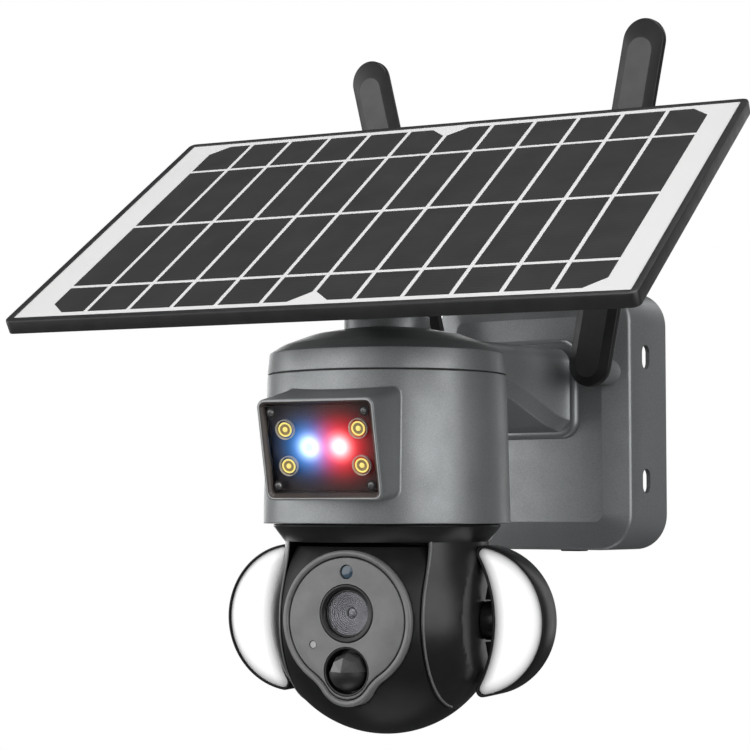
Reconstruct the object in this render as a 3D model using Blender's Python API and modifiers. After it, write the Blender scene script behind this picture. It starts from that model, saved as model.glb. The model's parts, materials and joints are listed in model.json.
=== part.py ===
"""Solar-powered security camera on a wall box, built as an assembly of separate pieces.

Units are metres and +Z is up. The origin is the centre of the wall box's back face: the wall is the plane
Y = 0 and the camera stands out from it towards -Y. The round head, the camera ball, the lamp window, the
solar panel and the antennas are each drawn in a frame of their own, which an empty places. In the head's
frame the lamp and the lens face local -Y.
"""
import math

import bmesh
import bpy
from mathutils import Matrix, Vector

GAP = 0.0003                      # between faces that touch
WALL = 0.0024                     # moulded shells
BIG = 0.2                         # reach of a cutter that goes right through

# Wall box
BOX_HALF_W, BOX_HALF_H, BOX_DEPTH = 0.0605, 0.0697, 0.0447
BOX_BAND = 0.0403                 # depth of the straight sides, up to the chamfer
BOX_CHAMFER = 0.0150
BOX_CORNER = 0.0190
STRAP_SLOT_H, STRAP_SLOT_W = 0.0130, 0.0083
STRAP_SLOT_Y, STRAP_SLOT_Z = -0.0229, 0.0330
PLUG_X, PLUG_Y, PLUG_HALF_W, PLUG_HALF_D = 0.0145, -0.0200, 0.0062, 0.0045
CABLE_HALF_W, CABLE_LOW, CABLE_HIGH = 0.0120, 0.0060, 0.0280

# Battery compartment inside the box, shut by a cover flush with the wall
COVER_HALF_W, COVER_HALF_H, COVER_T = 0.0420, 0.0255, 0.0020
TRAY_HALF_W, TRAY_HALF_H = 0.0402, 0.0240
TRAY_BACK, TRAY_FRONT = -0.0033, -0.0420
TRAY_HOLLOW_W, TRAY_HOLLOW_H, TRAY_WALL = 0.0334, 0.0222, 0.0016
CELL_R, CELL_LENGTH = 0.0090, 0.0650
CELL_Y, CELL_Z = (-0.0130, -0.0311), 0.0096
COVER_SCREW_X, COVER_BORE_R = 0.0368, 0.0015
COVER_SEAT_R, COVER_SEAT_DEPTH = 0.0030, 0.0012

# Arm from the box to the head, and the collar round its root
COLLAR_HALF_W, COLLAR_LOW, COLLAR_HIGH, COLLAR_T = 0.0316, -0.0105, 0.0430, 0.0030
COLLAR_CORNER = 0.0100
ARM_WALL = 0.0030
ARM_TOP, ARM_CHAMFER = 0.0380, 0.0060

# Round head. Radii of the main cylinder at its seam and at its foot
HEAD_REACH = 0.1782               # from the wall to the head's axis
HEAD_TURN = math.radians(11)      # the head is set turned on the arm
HEAD_R_TOP, HEAD_R_FOOT = 0.0585, 0.0603
SEAM_Z, FOOT_Z = 0.0171, -0.0549
SHOULDER_R, SHOULDER_Z = 0.0575, 0.0274
CAP_TOP = 0.0396
FLOOR_T, SHAFT_HOLE_R = 0.0026, 0.0100
HEAD_WALL = 0.0027
NECK_CABLE_R = 0.0070
MOTOR_R, MOTOR_TOP, MOTOR_LOW = 0.0175, -0.0200, -0.0400
BOARD_T = 0.0016

# Lamp nose and its tilted window, whose frame has local +Z pointing out
NOSE_HALF_W = 0.02945
NOSE_TOP_REACH, NOSE_TOP_Z = 0.0833, 0.0022
NOSE_LOW_REACH, NOSE_LOW_Z = 0.0717, -0.0442
NOSE_ROOT_REACH, NOSE_ROOT_LOW, NOSE_TOP_SLOPE = 0.0550, -0.0434, 0.21
WINDOW_RIM = 0.0014
WINDOW_T, PANE_DEPTH = 0.0019, 0.0022
LAMP_BOARD_Z = -0.0140
LED_X, LED_Y, LED_R = 0.0185, 0.0086, 0.0045
COLOUR_LED_X = 0.0077
WINDOW_SCREW_X, WINDOW_SCREW_Y = 0.0235, 0.0173

# Turntable and yoke
RING_TOP_R, RING_LOW_R, RING_LOW_Z = 0.0563, 0.0496, -0.0637
RING_HOLLOW_R, RING_PLATE_T = 0.0466, 0.0025
SKIRT_IN_R, SKIRT_OUT_R, SKIRT_LOW_Z = 0.0468, 0.0494, -0.0715    # closes the back above the ball
SHAFT_R, SHAFT_BORE_R, SHAFT_TOP_Z = 0.0092, 0.0035, -0.0425
BALL_R, BALL_Z = 0.0564, -0.1001
YOKE_INNER_X, YOKE_FLAT_X = 0.0362, 0.0500
PIN_R, PIN_HOLE_R = 0.0040, 0.0043

# Camera ball. Angles are measured round the tilt axis from straight ahead, upwards positive
BALL_HALF_W = 0.0356
BALL_TOP = 0.0330                 # flat top above the ball's centre
BALL_DRUM_R = 0.0360              # the back of the ball is a drum that clears the turntable
BALL_BACK_ANGLE = math.radians(-130)
BALL_WALL = 0.0034
FACE_FRONT, FACE_SEAT = 0.0480, 0.0383
FACE_R, LOBE_R, LOBE_Z = 0.0330, 0.0150, -0.0250
BEZEL_W = 0.0029
LENS_Z, LENS_R, GLASS_R = 0.0034, 0.01355, 0.0106
LIGHT_SENSOR_Z, LIGHT_SENSOR_R = 0.0228, 0.0031
PIR_Z, PIR_R = -0.0236, 0.0109
MIC_X, MIC_Z, MIC_R = -0.0171, -0.0114, 0.0018

# Floodlights beside the yoke
LIGHT_FRONT = 0.0074              # rim plane in front of the tilt axis
LIGHT_OUTER_R, LIGHT_OUTER_X = 0.0355, 0.0469
LIGHT_INNER_R, LIGHT_INNER_X = 0.0800, 0.0574
LIGHT_TIP_R = 0.0040
LIGHT_Z = -0.0010                 # relative to the ball's centre
LIGHT_DEPTH, LIGHT_BACK_EDGE = 0.0194, 0.0010
BOSS_HALF_H, BOSS_REACH = 0.0105, 0.0640

# Solar panel and its mount. The panel's frame has its origin on the hinge pin
PIVOT_Z = 0.0772
PANEL_TURN = math.radians(-1.38)  # the panel as it stands, turned on the head
PANEL_TILT = math.radians(32.5)
PANEL_HALF_W, PANEL_HALF_D, PANEL_T = 0.1604, 0.1062, 0.0070
PANEL_HEIGHT, PANEL_SHIFT = 0.0220, 0.0069
PANEL_LIP = 0.0040
PANEL_CORNER = 0.0040
SHEET_DROP, SHEET_T, POCKET_DEPTH = 0.0005, 0.0022, 0.0020
NECK_R, NECK_TOP = 0.0210, 0.0460
FORK_X, FORK_T, FORK_R = 0.0063, 0.0040, 0.0090

# Antennas, each leaning outwards from its hinge on the box
ANTENNA_X, ANTENNA_Z = 0.0485, 0.0244
ANTENNA_BOSS_R, ANTENNA_BOSS_Y = 0.0070, -0.0588
BLADE_LOW, BLADE_HIGH, BLADE_R = -0.0087, 0.1844, 0.0118
BLADE_FACE_LOW, BLADE_FACE_HIGH, BLADE_FACE_R = -0.0040, 0.1742, 0.0071
BLADE_BACK_Y, BLADE_T, BLADE_CHAMFER = -0.0591, 0.0076, 0.0020
ANTENNA_BOLT_R, ANTENNA_BORE_R, ANTENNA_BOLT_REACH = 0.0024, 0.0027, 0.0042
LEANS = {"right": math.radians(11.3), "left": math.radians(14.0)}


# Scene, materials and placing

def clear_scene():
    for thing in list(bpy.data.objects):
        bpy.data.objects.remove(thing, do_unlink=True)


def new_collection(name):
    collection = bpy.data.collections.new(name)
    bpy.context.scene.collection.children.link(collection)
    return collection


clear_scene()
PARTS = new_collection("solar_security_camera")
CUTTERS = new_collection("cutters")


def material(name, colour, roughness, metallic=0.0):
    made = bpy.data.materials.new(name)
    made.use_nodes = True
    shader = made.node_tree.nodes["Principled BSDF"]
    shader.inputs["Base Color"].default_value = (*colour, 1.0)
    shader.inputs["Roughness"].default_value = roughness
    shader.inputs["Metallic"].default_value = metallic
    made.diffuse_color = (*colour, 1.0)
    return made


GREY = material("metallic_grey_housing", (0.165, 0.175, 0.180), 0.42, 0.35)
BLACK = material("gloss_black_plastic", (0.016, 0.016, 0.017), 0.22)
DARK = material("matte_black_plastic", (0.022, 0.022, 0.024), 0.50)
FACE = material("satin_grey_face", (0.13, 0.13, 0.135), 0.38)
WHITE = material("white_diffuser", (0.90, 0.90, 0.90), 0.35)
TINT = material("tinted_window", (0.030, 0.022, 0.022), 0.08)
GLASS = material("lens_glass", (0.020, 0.025, 0.030), 0.04)
SHEET = material("panel_backsheet", (0.78, 0.78, 0.77), 0.30)
BOARD = material("circuit_board", (0.020, 0.120, 0.045), 0.45)
METAL = material("zinc_plated_steel", (0.55, 0.55, 0.56), 0.32, 1.0)
RUBBER = material("black_rubber", (0.015, 0.015, 0.015), 0.75)
CELL = material("cell_sleeve", (0.04, 0.17, 0.33), 0.40)
LED_WHITE = material("white_led", (0.95, 0.85, 0.45), 0.20)
LED_BLUE = material("blue_led", (0.05, 0.15, 0.95), 0.20)
LED_RED = material("red_led", (0.95, 0.04, 0.06), 0.20)


def frame_empty(name, place, rotation=(0, 0, 0), parent=None):
    empty = bpy.data.objects.new(name, None)
    empty.empty_display_size = 0.02
    empty.location = place
    empty.rotation_euler = rotation
    empty.parent = parent
    PARTS.objects.link(empty)
    return empty


def put(name, mesh, parent, finish):
    """Makes an object of a mesh. With no finish it is a cutter."""
    thing = bpy.data.objects.new(name, mesh)
    thing.parent = parent
    if finish is None:
        CUTTERS.objects.link(thing)
        thing.hide_render = True
        thing.display_type = "WIRE"
        return thing
    PARTS.objects.link(thing)
    mesh.materials.append(finish)
    mesh.shade_smooth()
    mesh.set_sharp_from_angle(angle=math.radians(35))
    return thing


def put_bmesh(name, bm, parent, finish):
    mesh = bpy.data.meshes.new(name)
    bmesh.ops.recalc_face_normals(bm, faces=bm.faces)
    bm.to_mesh(mesh)
    bm.free()
    return put(name, mesh, parent, finish)


def block(name, low, high, parent=None, finish=None, bevel=0.0):
    low, high = Vector(low), Vector(high)
    bm = bmesh.new()
    size = Matrix.Diagonal((*(high - low), 1.0))
    bmesh.ops.create_cube(bm, size=1.0, matrix=Matrix.Translation((low + high) / 2) @ size)
    thing = put_bmesh(name, bm, parent, finish)
    if bevel:
        soften(thing, bevel)
    return thing


def rod(name, radius, start, end, parent=None, finish=None, segments=20):
    start, end = Vector(start), Vector(end)
    turn = (end - start).to_track_quat("Z", "Y").to_matrix().to_4x4()
    bm = bmesh.new()
    bmesh.ops.create_cone(bm, cap_ends=True, segments=segments, radius1=radius, radius2=radius,
                          depth=(end - start).length, matrix=Matrix.Translation((start + end) / 2) @ turn)
    return put_bmesh(name, bm, parent, finish)


def turned(name, profile, parent=None, finish=None, steps=32, ring=False, place=(0, 0, 0),
           rotation=(0, 0, 0)):
    """Turns a profile of (radius, height), top to bottom on its outer side, about local Z."""
    mesh = bpy.data.meshes.new(name)
    count = len(profile)
    edges = [(i, (i + 1) % count) for i in range(count if ring else count - 1)]
    mesh.from_pydata([(radius, 0.0, height) for radius, height in profile], edges, [])
    thing = put(name, mesh, parent, finish)
    thing.location = place
    thing.rotation_euler = rotation
    screw = thing.modifiers.new("turn", "SCREW")
    screw.steps = steps
    screw.render_steps = steps
    screw.use_merge_vertices = True
    screw.merge_threshold = 0.00001
    return thing


def flat(name, outline, bottom, top, parent=None, finish=None, rotation=(0, 0, 0), place=(0, 0, 0)):
    """Extrudes a closed outline, drawn in local XY, from bottom to top along local Z."""
    curve = bpy.data.curves.new(name, "CURVE")
    curve.dimensions = "2D"
    curve.fill_mode = "BOTH"
    curve.extrude = (top - bottom) / 2
    spline = curve.splines.new("POLY")
    spline.points.add(len(outline) - 1)
    for point, (x, y) in zip(spline.points, outline):
        point.co = (x, y, 0.0, 1.0)
    spline.use_cyclic_u = True
    sketch = bpy.data.objects.new(name + "_sketch", curve)
    CUTTERS.objects.link(sketch)
    bpy.context.view_layer.update()
    mesh = bpy.data.meshes.new_from_object(sketch.evaluated_get(bpy.context.evaluated_depsgraph_get()))
    bpy.data.objects.remove(sketch, do_unlink=True)
    bm = bmesh.new()
    bm.from_mesh(mesh)
    bmesh.ops.remove_doubles(bm, verts=bm.verts, dist=0.00001)
    bmesh.ops.translate(bm, verts=bm.verts, vec=(0, 0, (top + bottom) / 2))
    thing = put_bmesh(name, bm, parent, finish)
    thing.rotation_euler = rotation
    thing.location = place
    return thing


def loft(name, rings, parent=None, finish=None, cap_first=True, cap_last=True):
    """Skins rings of equal point count, each a list of 3-D points."""
    bm = bmesh.new()
    loops = [[bm.verts.new(point) for point in ring] for ring in rings]
    for lower, upper in zip(loops, loops[1:]):
        for i in range(len(lower)):
            j = (i + 1) % len(lower)
            bm.faces.new((lower[i], lower[j], upper[j], upper[i]))
    if cap_first:
        bm.faces.new(loops[0])
    if cap_last:
        bm.faces.new(loops[-1])
    return put_bmesh(name, bm, parent, finish)


# Changes to a piece

def soften(thing, width, segments=2, angle=40):
    bevel = thing.modifiers.new("soften", "BEVEL")
    bevel.width = width
    bevel.segments = segments
    bevel.limit_method = "ANGLE"
    bevel.angle_limit = math.radians(angle)


def combine(thing, other, operation="DIFFERENCE"):
    boolean = thing.modifiers.new(operation.lower(), "BOOLEAN")
    boolean.operation = operation
    boolean.solver = "EXACT"
    boolean.object = other


def cut(thing, *cutters):
    for cutter in cutters:
        combine(thing, cutter)


def join(thing, *others):
    for other in others:
        combine(thing, other, "UNION")


# Outlines

def rounded_rect(half_w, half_h, radius, segments=5):
    """Corner arcs of a rectangle centred on (0, 0), anticlockwise."""
    points = []
    corners = ((1, 1, 0), (-1, 1, 90), (-1, -1, 180), (1, -1, 270))
    for sx, sy, start in corners:
        for i in range(segments + 1):
            angle = math.radians(start + 90 * i / segments)
            points.append((sx * (half_w - radius) + radius * math.cos(angle),
                           sy * (half_h - radius) + radius * math.sin(angle)))
    return points


def arc(centre, radius, start, end, segments):
    """Points from one angle to the other, in degrees, both ends included."""
    angles = [math.radians(start + (end - start) * i / segments) for i in range(segments + 1)]
    return [(centre[0] + radius * math.cos(a), centre[1] + radius * math.sin(a)) for a in angles]


def teardrop(inset=0.0):
    """Face outline: a circle with a smaller lobe below it, joined by the two circles' tangents."""
    big, small = FACE_R - inset, LOBE_R - inset
    lean = math.degrees(math.asin((FACE_R - LOBE_R) / -LOBE_Z))
    return arc((0, 0), big, -lean, 180 + lean, 22) + arc((0, LOBE_Z), small, 180 + lean, 360 - lean, 7)


def crescent(inset=0.0):
    """Floodlight outline between an outer and an inner arc, with rounded tips, x pointing outwards."""
    outer, inner, tip = LIGHT_OUTER_R - inset, LIGHT_INNER_R + inset, LIGHT_TIP_R - 0.5 * inset
    inner_x = LIGHT_INNER_X - LIGHT_INNER_R
    # A tip's centre lies outer - tip from one arc's centre and inner + tip from the other's
    reach_a, reach_b = outer - tip, inner + tip
    span = LIGHT_OUTER_X - inner_x
    along = (reach_b ** 2 - reach_a ** 2 + span ** 2) / (2 * span)
    tip_x, tip_y = inner_x + along, math.sqrt(reach_b ** 2 - along ** 2)
    to_outer = math.degrees(math.atan2(tip_y, tip_x - LIGHT_OUTER_X))
    to_inner = math.degrees(math.atan2(tip_y, tip_x - inner_x))
    return (arc((LIGHT_OUTER_X, 0), outer, -to_outer, to_outer, 14)
            + arc((tip_x, tip_y), tip, to_outer, to_inner + 180, 4)[1:]
            + arc((inner_x, 0), inner, to_inner, -to_inner, 7)[1:]
            + arc((tip_x, -tip_y), tip, 180 - to_inner, 360 - to_outer, 4)[1:-1])


# Wall box

def build_wall_box():
    levels = ((0.0, 0.0, 0.0), (BOX_BAND, 0.0, 0.0), (BOX_DEPTH, BOX_CHAMFER, 0.0040))
    rings = []
    for depth, inset, tighter in levels:
        outline = rounded_rect(BOX_HALF_W - inset, BOX_HALF_H - inset, BOX_CORNER - tighter)
        rings.append([(x, -depth, z) for x, z in outline])
    hollow_rings = []
    for depth, inset, tighter in ((-WALL, 0.0, 0.0), (BOX_BAND - WALL, 0.0, 0.0),
                                  (BOX_DEPTH - WALL, BOX_CHAMFER, 0.0040)):
        outline = rounded_rect(BOX_HALF_W - WALL - inset, BOX_HALF_H - WALL - inset,
                               BOX_CORNER - WALL - tighter)
        hollow_rings.append([(x, -depth, z) for x, z in outline])
    housing = loft("rear_housing", rings, finish=GREY)
    bosses = [rod("antenna_boss_" + side, ANTENNA_BOSS_R, (sign * ANTENNA_X, -0.036, ANTENNA_Z),
                  (sign * ANTENNA_X, ANTENNA_BOSS_Y, ANTENNA_Z), segments=24)
              for side, sign in (("right", 1), ("left", -1))]
    # The bosses reach inside, so that their bolts have something to hold
    cut(housing, loft("box_hollow", hollow_rings))
    join(housing, *bosses)
    slot = rounded_rect(STRAP_SLOT_H / 2, STRAP_SLOT_W / 2, STRAP_SLOT_W / 2 - 0.0001, 4)
    for side, z in (("high", STRAP_SLOT_Z), ("low", -STRAP_SLOT_Z)):
        cut(housing, flat("strap_slot_" + side, slot, -BIG, BIG, rotation=(0, math.radians(90), 0),
                          place=(0, STRAP_SLOT_Y, z)))
    cut(housing, block("box_cable_hole", (-CABLE_HALF_W, -BIG, CABLE_LOW),
                       (CABLE_HALF_W, -0.030, CABLE_HIGH)))
    cut(housing, block("plug_hole", (PLUG_X - PLUG_HALF_W - GAP, PLUG_Y - PLUG_HALF_D - GAP, -BIG),
                       (PLUG_X + PLUG_HALF_W + GAP, PLUG_Y + PLUG_HALF_D + GAP, -0.060)))
    block("port_plug", (PLUG_X - PLUG_HALF_W, PLUG_Y - PLUG_HALF_D, -BOX_HALF_H - 0.0010),
          (PLUG_X + PLUG_HALF_W, PLUG_Y + PLUG_HALF_D, -BOX_HALF_H + 0.0035), finish=RUBBER, bevel=0.0006)
    return housing


def build_battery():
    tray = block("battery_tray", (-TRAY_HALF_W, TRAY_FRONT, -TRAY_HALF_H),
                 (TRAY_HALF_W, TRAY_BACK, TRAY_HALF_H), finish=DARK)
    cut(tray, block("tray_hollow", (-TRAY_HOLLOW_W, TRAY_FRONT + TRAY_WALL, -TRAY_HOLLOW_H),
                    (TRAY_HOLLOW_W, BIG, TRAY_HOLLOW_H)))
    seal = block("tray_seal", (-TRAY_HALF_W, TRAY_BACK + GAP, -TRAY_HALF_H),
                 (TRAY_HALF_W, -COVER_T - GAP, TRAY_HALF_H), finish=RUBBER)
    cut(seal, block("seal_hollow", (-TRAY_HOLLOW_W, -BIG, -TRAY_HOLLOW_H),
                    (TRAY_HOLLOW_W, BIG, TRAY_HOLLOW_H)))
    cover = block("rear_cover", (-COVER_HALF_W, -COVER_T, -COVER_HALF_H),
                  (COVER_HALF_W, 0.0, COVER_HALF_H), finish=DARK)
    for side, sign in (("right", 1), ("left", -1)):
        x = sign * COVER_SCREW_X
        bore = rod("cover_screw_hole_" + side, COVER_BORE_R, (x, -0.0120, 0), (x, BIG, 0), segments=12)
        seat = rod("cover_screw_seat_" + side, COVER_SEAT_R, (x, -COVER_SEAT_DEPTH, 0), (x, BIG, 0),
                   segments=16)
        cut(tray, bore)
        cut(seal, bore)
        cut(cover, bore, seat)
        profile = ((0, -0.0002), (0.0026, -0.0002), (0.0026, -0.0009), (0.0012, -0.0009),
                   (0.0012, -0.0110), (0, -0.0110))
        turned("cover_screw_" + side, profile, finish=METAL, steps=12, place=(x, 0, 0),
               rotation=(math.radians(-90), 0, 0))
    places = [(y, sign * CELL_Z) for y in CELL_Y for sign in (1, -1)]
    for number, (y, z) in enumerate(places, 1):
        rod("battery_cell_%d" % number, CELL_R, (-CELL_LENGTH / 2, y, z), (CELL_LENGTH / 2, y, z),
            finish=CELL, segments=20)


# Arm, with the head's cap in the same moulding

def arm_section(half_w, half_h, radius, chamfer):
    """A rectangle with rounded upper corners and chamfered lower ones, anticlockwise."""
    upper = arc((half_w - radius, half_h - radius), radius, 0, 90, 3)
    upper += arc((radius - half_w, half_h - radius), radius, 90, 180, 3)
    return upper + [(-half_w, chamfer - half_h), (chamfer - half_w, -half_h), (half_w - chamfer, -half_h),
                    (half_w, chamfer - half_h)]


def arm_rings(inset):
    """Sections behind the head's axis: distance, half width, underside, corner radius."""
    sections = ((0.1302, 0.0275, -0.0065, 0.0085), (0.1240, 0.0258, -0.0052, 0.0085),
                (0.1120, 0.0240, 0.0000, 0.0085), (0.0960, 0.0225, 0.0068, 0.0082),
                (0.0800, 0.0212, 0.0122, 0.0078), (0.0680, 0.0203, 0.0155, 0.0072),
                (0.0605, 0.0200, 0.0174, 0.0068), (0.0280, 0.0200, 0.0174, 0.0068))
    rings = []
    for number, (reach, half_w, low, radius) in enumerate(sections):
        if inset and number == 0:
            reach += 0.002
        if inset and number == len(sections) - 1:
            reach -= 0.002
        top = ARM_TOP if reach > 0.035 else ARM_TOP - 0.0010
        # The chamfer's inner face keeps the same wall as the sides
        chamfer = ARM_CHAMFER - inset * (2 - math.sqrt(2))
        outline = arm_section(half_w - inset, (top - low) / 2 - inset, radius - inset, chamfer)
        rings.append([(x, reach - HEAD_REACH, z + (top + low) / 2) for x, z in outline])
    return rings


def cap_profile(drop=0.0):
    """Cap from the middle of its top down to its lower edge, or its inside, drop below."""
    low = SEAM_Z + GAP / 2 - (0.002 if drop else 0.0)
    return ((0, CAP_TOP - drop), (0.0225, CAP_TOP - drop), (0.0240, 0.0392 - drop),
            (0.0356, 0.0371 - drop), (0.0507 - drop / 2, 0.0316 - drop),
            (SHOULDER_R - drop, SHOULDER_Z - drop / 2),
            (HEAD_R_TOP - drop, low), (0, low))


def build_arm(head):
    collar_half_h = (COLLAR_HIGH - COLLAR_LOW) / 2
    collar_place = (0, -BOX_DEPTH - GAP, (COLLAR_HIGH + COLLAR_LOW) / 2)
    collar = flat("arm_collar", rounded_rect(COLLAR_HALF_W, collar_half_h, COLLAR_CORNER), 0,
                  COLLAR_T, finish=GREY, rotation=(math.radians(90), 0, 0), place=collar_place)
    cut(collar, block("collar_cable_hole", (-CABLE_HALF_W, -BIG, CABLE_LOW), (CABLE_HALF_W, 0.0, CABLE_HIGH)))
    arm = turned("arm_cap", cap_profile(), head, GREY, steps=48)
    join(arm, loft("arm_outside", arm_rings(0.0)))
    cut(arm, turned("cap_hollow", cap_profile(0.0030), head, steps=32),
        loft("arm_hollow", arm_rings(ARM_WALL)),
        rod("neck_cable_hole", NECK_CABLE_R, (0, 0, SHOULDER_Z), (0, 0, NECK_TOP), head))
    turned("cap_seal", ((0.0528, 0.0220), (0.0548, 0.0220), (0.0548, 0.0120), (0.0528, 0.0120)), head,
           RUBBER, steps=32, ring=True)


# Head and lamp

def build_head(head):
    top, low = SEAM_Z - GAP / 2, FOOT_Z
    profile = ((HEAD_R_TOP - HEAD_WALL, top), (HEAD_R_TOP, top), (HEAD_R_FOOT, low), (SHAFT_HOLE_R, low),
               (SHAFT_HOLE_R, low + FLOOR_T), (HEAD_R_FOOT - HEAD_WALL, low + FLOOR_T))
    housing = turned("upper_housing", profile, head, GREY, steps=48, ring=True)
    # The side view of the nose is drawn with x forward and y up, then stood on the head
    inside = NOSE_ROOT_REACH - 0.0100
    inside_top = NOSE_TOP_Z + NOSE_TOP_SLOPE * (NOSE_TOP_REACH - inside)
    side = ((NOSE_TOP_REACH, NOSE_TOP_Z), (inside, inside_top), (inside, NOSE_ROOT_LOW),
            (NOSE_ROOT_REACH, NOSE_ROOT_LOW), (NOSE_LOW_REACH, NOSE_LOW_Z))
    nose = flat("nose_outside", side, -NOSE_HALF_W, NOSE_HALF_W, head,
                rotation=(math.radians(90), 0, math.radians(-90)))
    hollow = rod("head_hollow", HEAD_R_TOP - 0.0030, (0, 0, FOOT_Z + FLOOR_T), (0, 0, 0.1), head, segments=40)
    join(housing, nose)
    cut(housing, hollow)
    window = build_window_frame(head)
    half_w = NOSE_HALF_W - WINDOW_RIM
    half_h = (math.hypot(NOSE_TOP_REACH - NOSE_LOW_REACH, NOSE_TOP_Z - NOSE_LOW_Z)) / 2 - WINDOW_RIM
    cut(housing,
        block("window_seat", (-half_w, -half_h, -PANE_DEPTH - WINDOW_T - GAP), (half_w, half_h, 0.02),
              window),
        block("lamp_space_wide", (-0.0262, -0.0136, -0.030), (0.0262, 0.0136, 0.01), window),
        block("lamp_space_tall", (-0.0195, -0.0195, -0.030), (0.0195, 0.0195, 0.01), window))
    build_lamp(housing, window, half_w - GAP, half_h - GAP)
    block("main_board", (-0.030, 0.0240, -0.010), (0.030, 0.0240 + BOARD_T, 0.014), head, BOARD)
    turned("pan_motor", ((0, MOTOR_TOP), (MOTOR_R, MOTOR_TOP), (MOTOR_R, MOTOR_LOW), (0, MOTOR_LOW)),
           head, METAL, steps=20)


def build_window_frame(head):
    reach = (NOSE_TOP_REACH + NOSE_LOW_REACH) / 2
    height = (NOSE_TOP_Z + NOSE_LOW_Z) / 2
    droop = math.atan2(NOSE_TOP_REACH - NOSE_LOW_REACH, NOSE_TOP_Z - NOSE_LOW_Z)
    return frame_empty("window_frame", (0, -reach, height), (math.radians(90) + droop, 0, 0), head)


def build_lamp(housing, window, half_w, half_h):
    pane = block("lamp_window", (-half_w, -half_h, -WINDOW_T - PANE_DEPTH), (half_w, half_h, -PANE_DEPTH),
                 window, TINT)
    block("lamp_board", (-0.0250, -0.0130, LAMP_BOARD_Z), (0.0250, 0.0130, LAMP_BOARD_Z + 0.0014), window,
          BOARD)
    corners = [(sx, sy) for sy in (1, -1) for sx in (-1, 1)]
    for number, (sx, sy) in enumerate(corners, 1):
        profile = ((0, -0.0056), (0.0020, -0.0062), (0.0034, -0.0080), (0.0036, -0.0100),
                   (LED_R, -0.0100), (LED_R, -0.0122), (0, -0.0122))
        turned("white_led_%d" % number, profile, window, LED_WHITE, steps=20,
               place=(sx * LED_X, sy * LED_Y, 0))
        place = Vector((sx * WINDOW_SCREW_X, sy * WINDOW_SCREW_Y, -PANE_DEPTH))
        bore = rod("window_screw_hole_%d" % number, 0.0013, place - Vector((0, 0, 0.0120)),
                   place + Vector((0, 0, 0.0100)), window, segments=12)
        cut(housing, bore)
        cut(pane, bore)
        screw = ((0, 0.0012), (0.0014, 0.0012), (0.0020, 0.0007), (0.0020, GAP), (0.0010, GAP),
                 (0.0010, -0.0100), (0, -0.0100))
        turned("window_screw_%d" % number, screw, window, METAL, steps=12, place=place)
    for name, sign, finish in (("blue_led", -1, LED_BLUE), ("red_led", 1, LED_RED)):
        profile = ((0, -0.0060), (0.0018, -0.0065), (0.0030, -0.0082), (0.0030, -0.0122), (0, -0.0122))
        turned(name, profile, window, finish, steps=20, place=(sign * COLOUR_LED_X, 0, 0))


# Turntable, yoke and floodlights

def build_yoke(head):
    top = FOOT_Z - GAP
    plate = top - RING_PLATE_T
    ring = ((SHAFT_BORE_R, SHAFT_TOP_Z), (SHAFT_R, SHAFT_TOP_Z), (SHAFT_R, top), (RING_TOP_R, top),
            (RING_LOW_R, RING_LOW_Z), (RING_HOLLOW_R, RING_LOW_Z), (RING_HOLLOW_R, plate),
            (SHAFT_BORE_R, plate))
    yoke = turned("yoke", ring, head, BLACK, steps=40, ring=True)
    # Above the ball's middle the arms are upright; from there down they are part of the sphere
    start = math.degrees(math.acos(RING_LOW_R / BALL_R))
    side = [(r, BALL_Z + z) for r, z in arc((0, 0), BALL_R, start, -90, 11)]
    side[-1] = (0, BALL_Z - BALL_R)
    body = [(0, plate + 0.0010), (RING_LOW_R, plate + 0.0010)] + side
    arms = turned("yoke_outside", body, head, steps=40)
    cut(arms, block("yoke_middle", (-YOKE_INNER_X, -BIG, -BIG), (YOKE_INNER_X, BIG, plate + 0.02), head))
    for sign in (1, -1):
        near, far = sorted((sign * YOKE_FLAT_X, sign * BIG))
        side_name = "right" if sign > 0 else "left"
        cut(arms, block("yoke_flat_" + side_name, (near, -BIG, BALL_Z - 0.1), (far, BIG, BALL_Z + 0.0330),
                        head))
    inside = plate + 0.0010
    skirt = turned("yoke_skirt", ((SKIRT_IN_R, inside), (SKIRT_OUT_R, inside), (SKIRT_OUT_R, SKIRT_LOW_Z),
                                  (SKIRT_IN_R, SKIRT_LOW_Z)), head, steps=40, ring=True)
    combine(skirt, block("skirt_limit", (-BIG, 0, -BIG), (BIG, BIG, BIG), head), "INTERSECT")
    join(yoke, arms, skirt)
    cut(yoke, rod("yoke_pin_hole", PIN_HOLE_R, (-0.0480, 0, BALL_Z), (0.0480, 0, BALL_Z), head))
    return yoke


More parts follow.
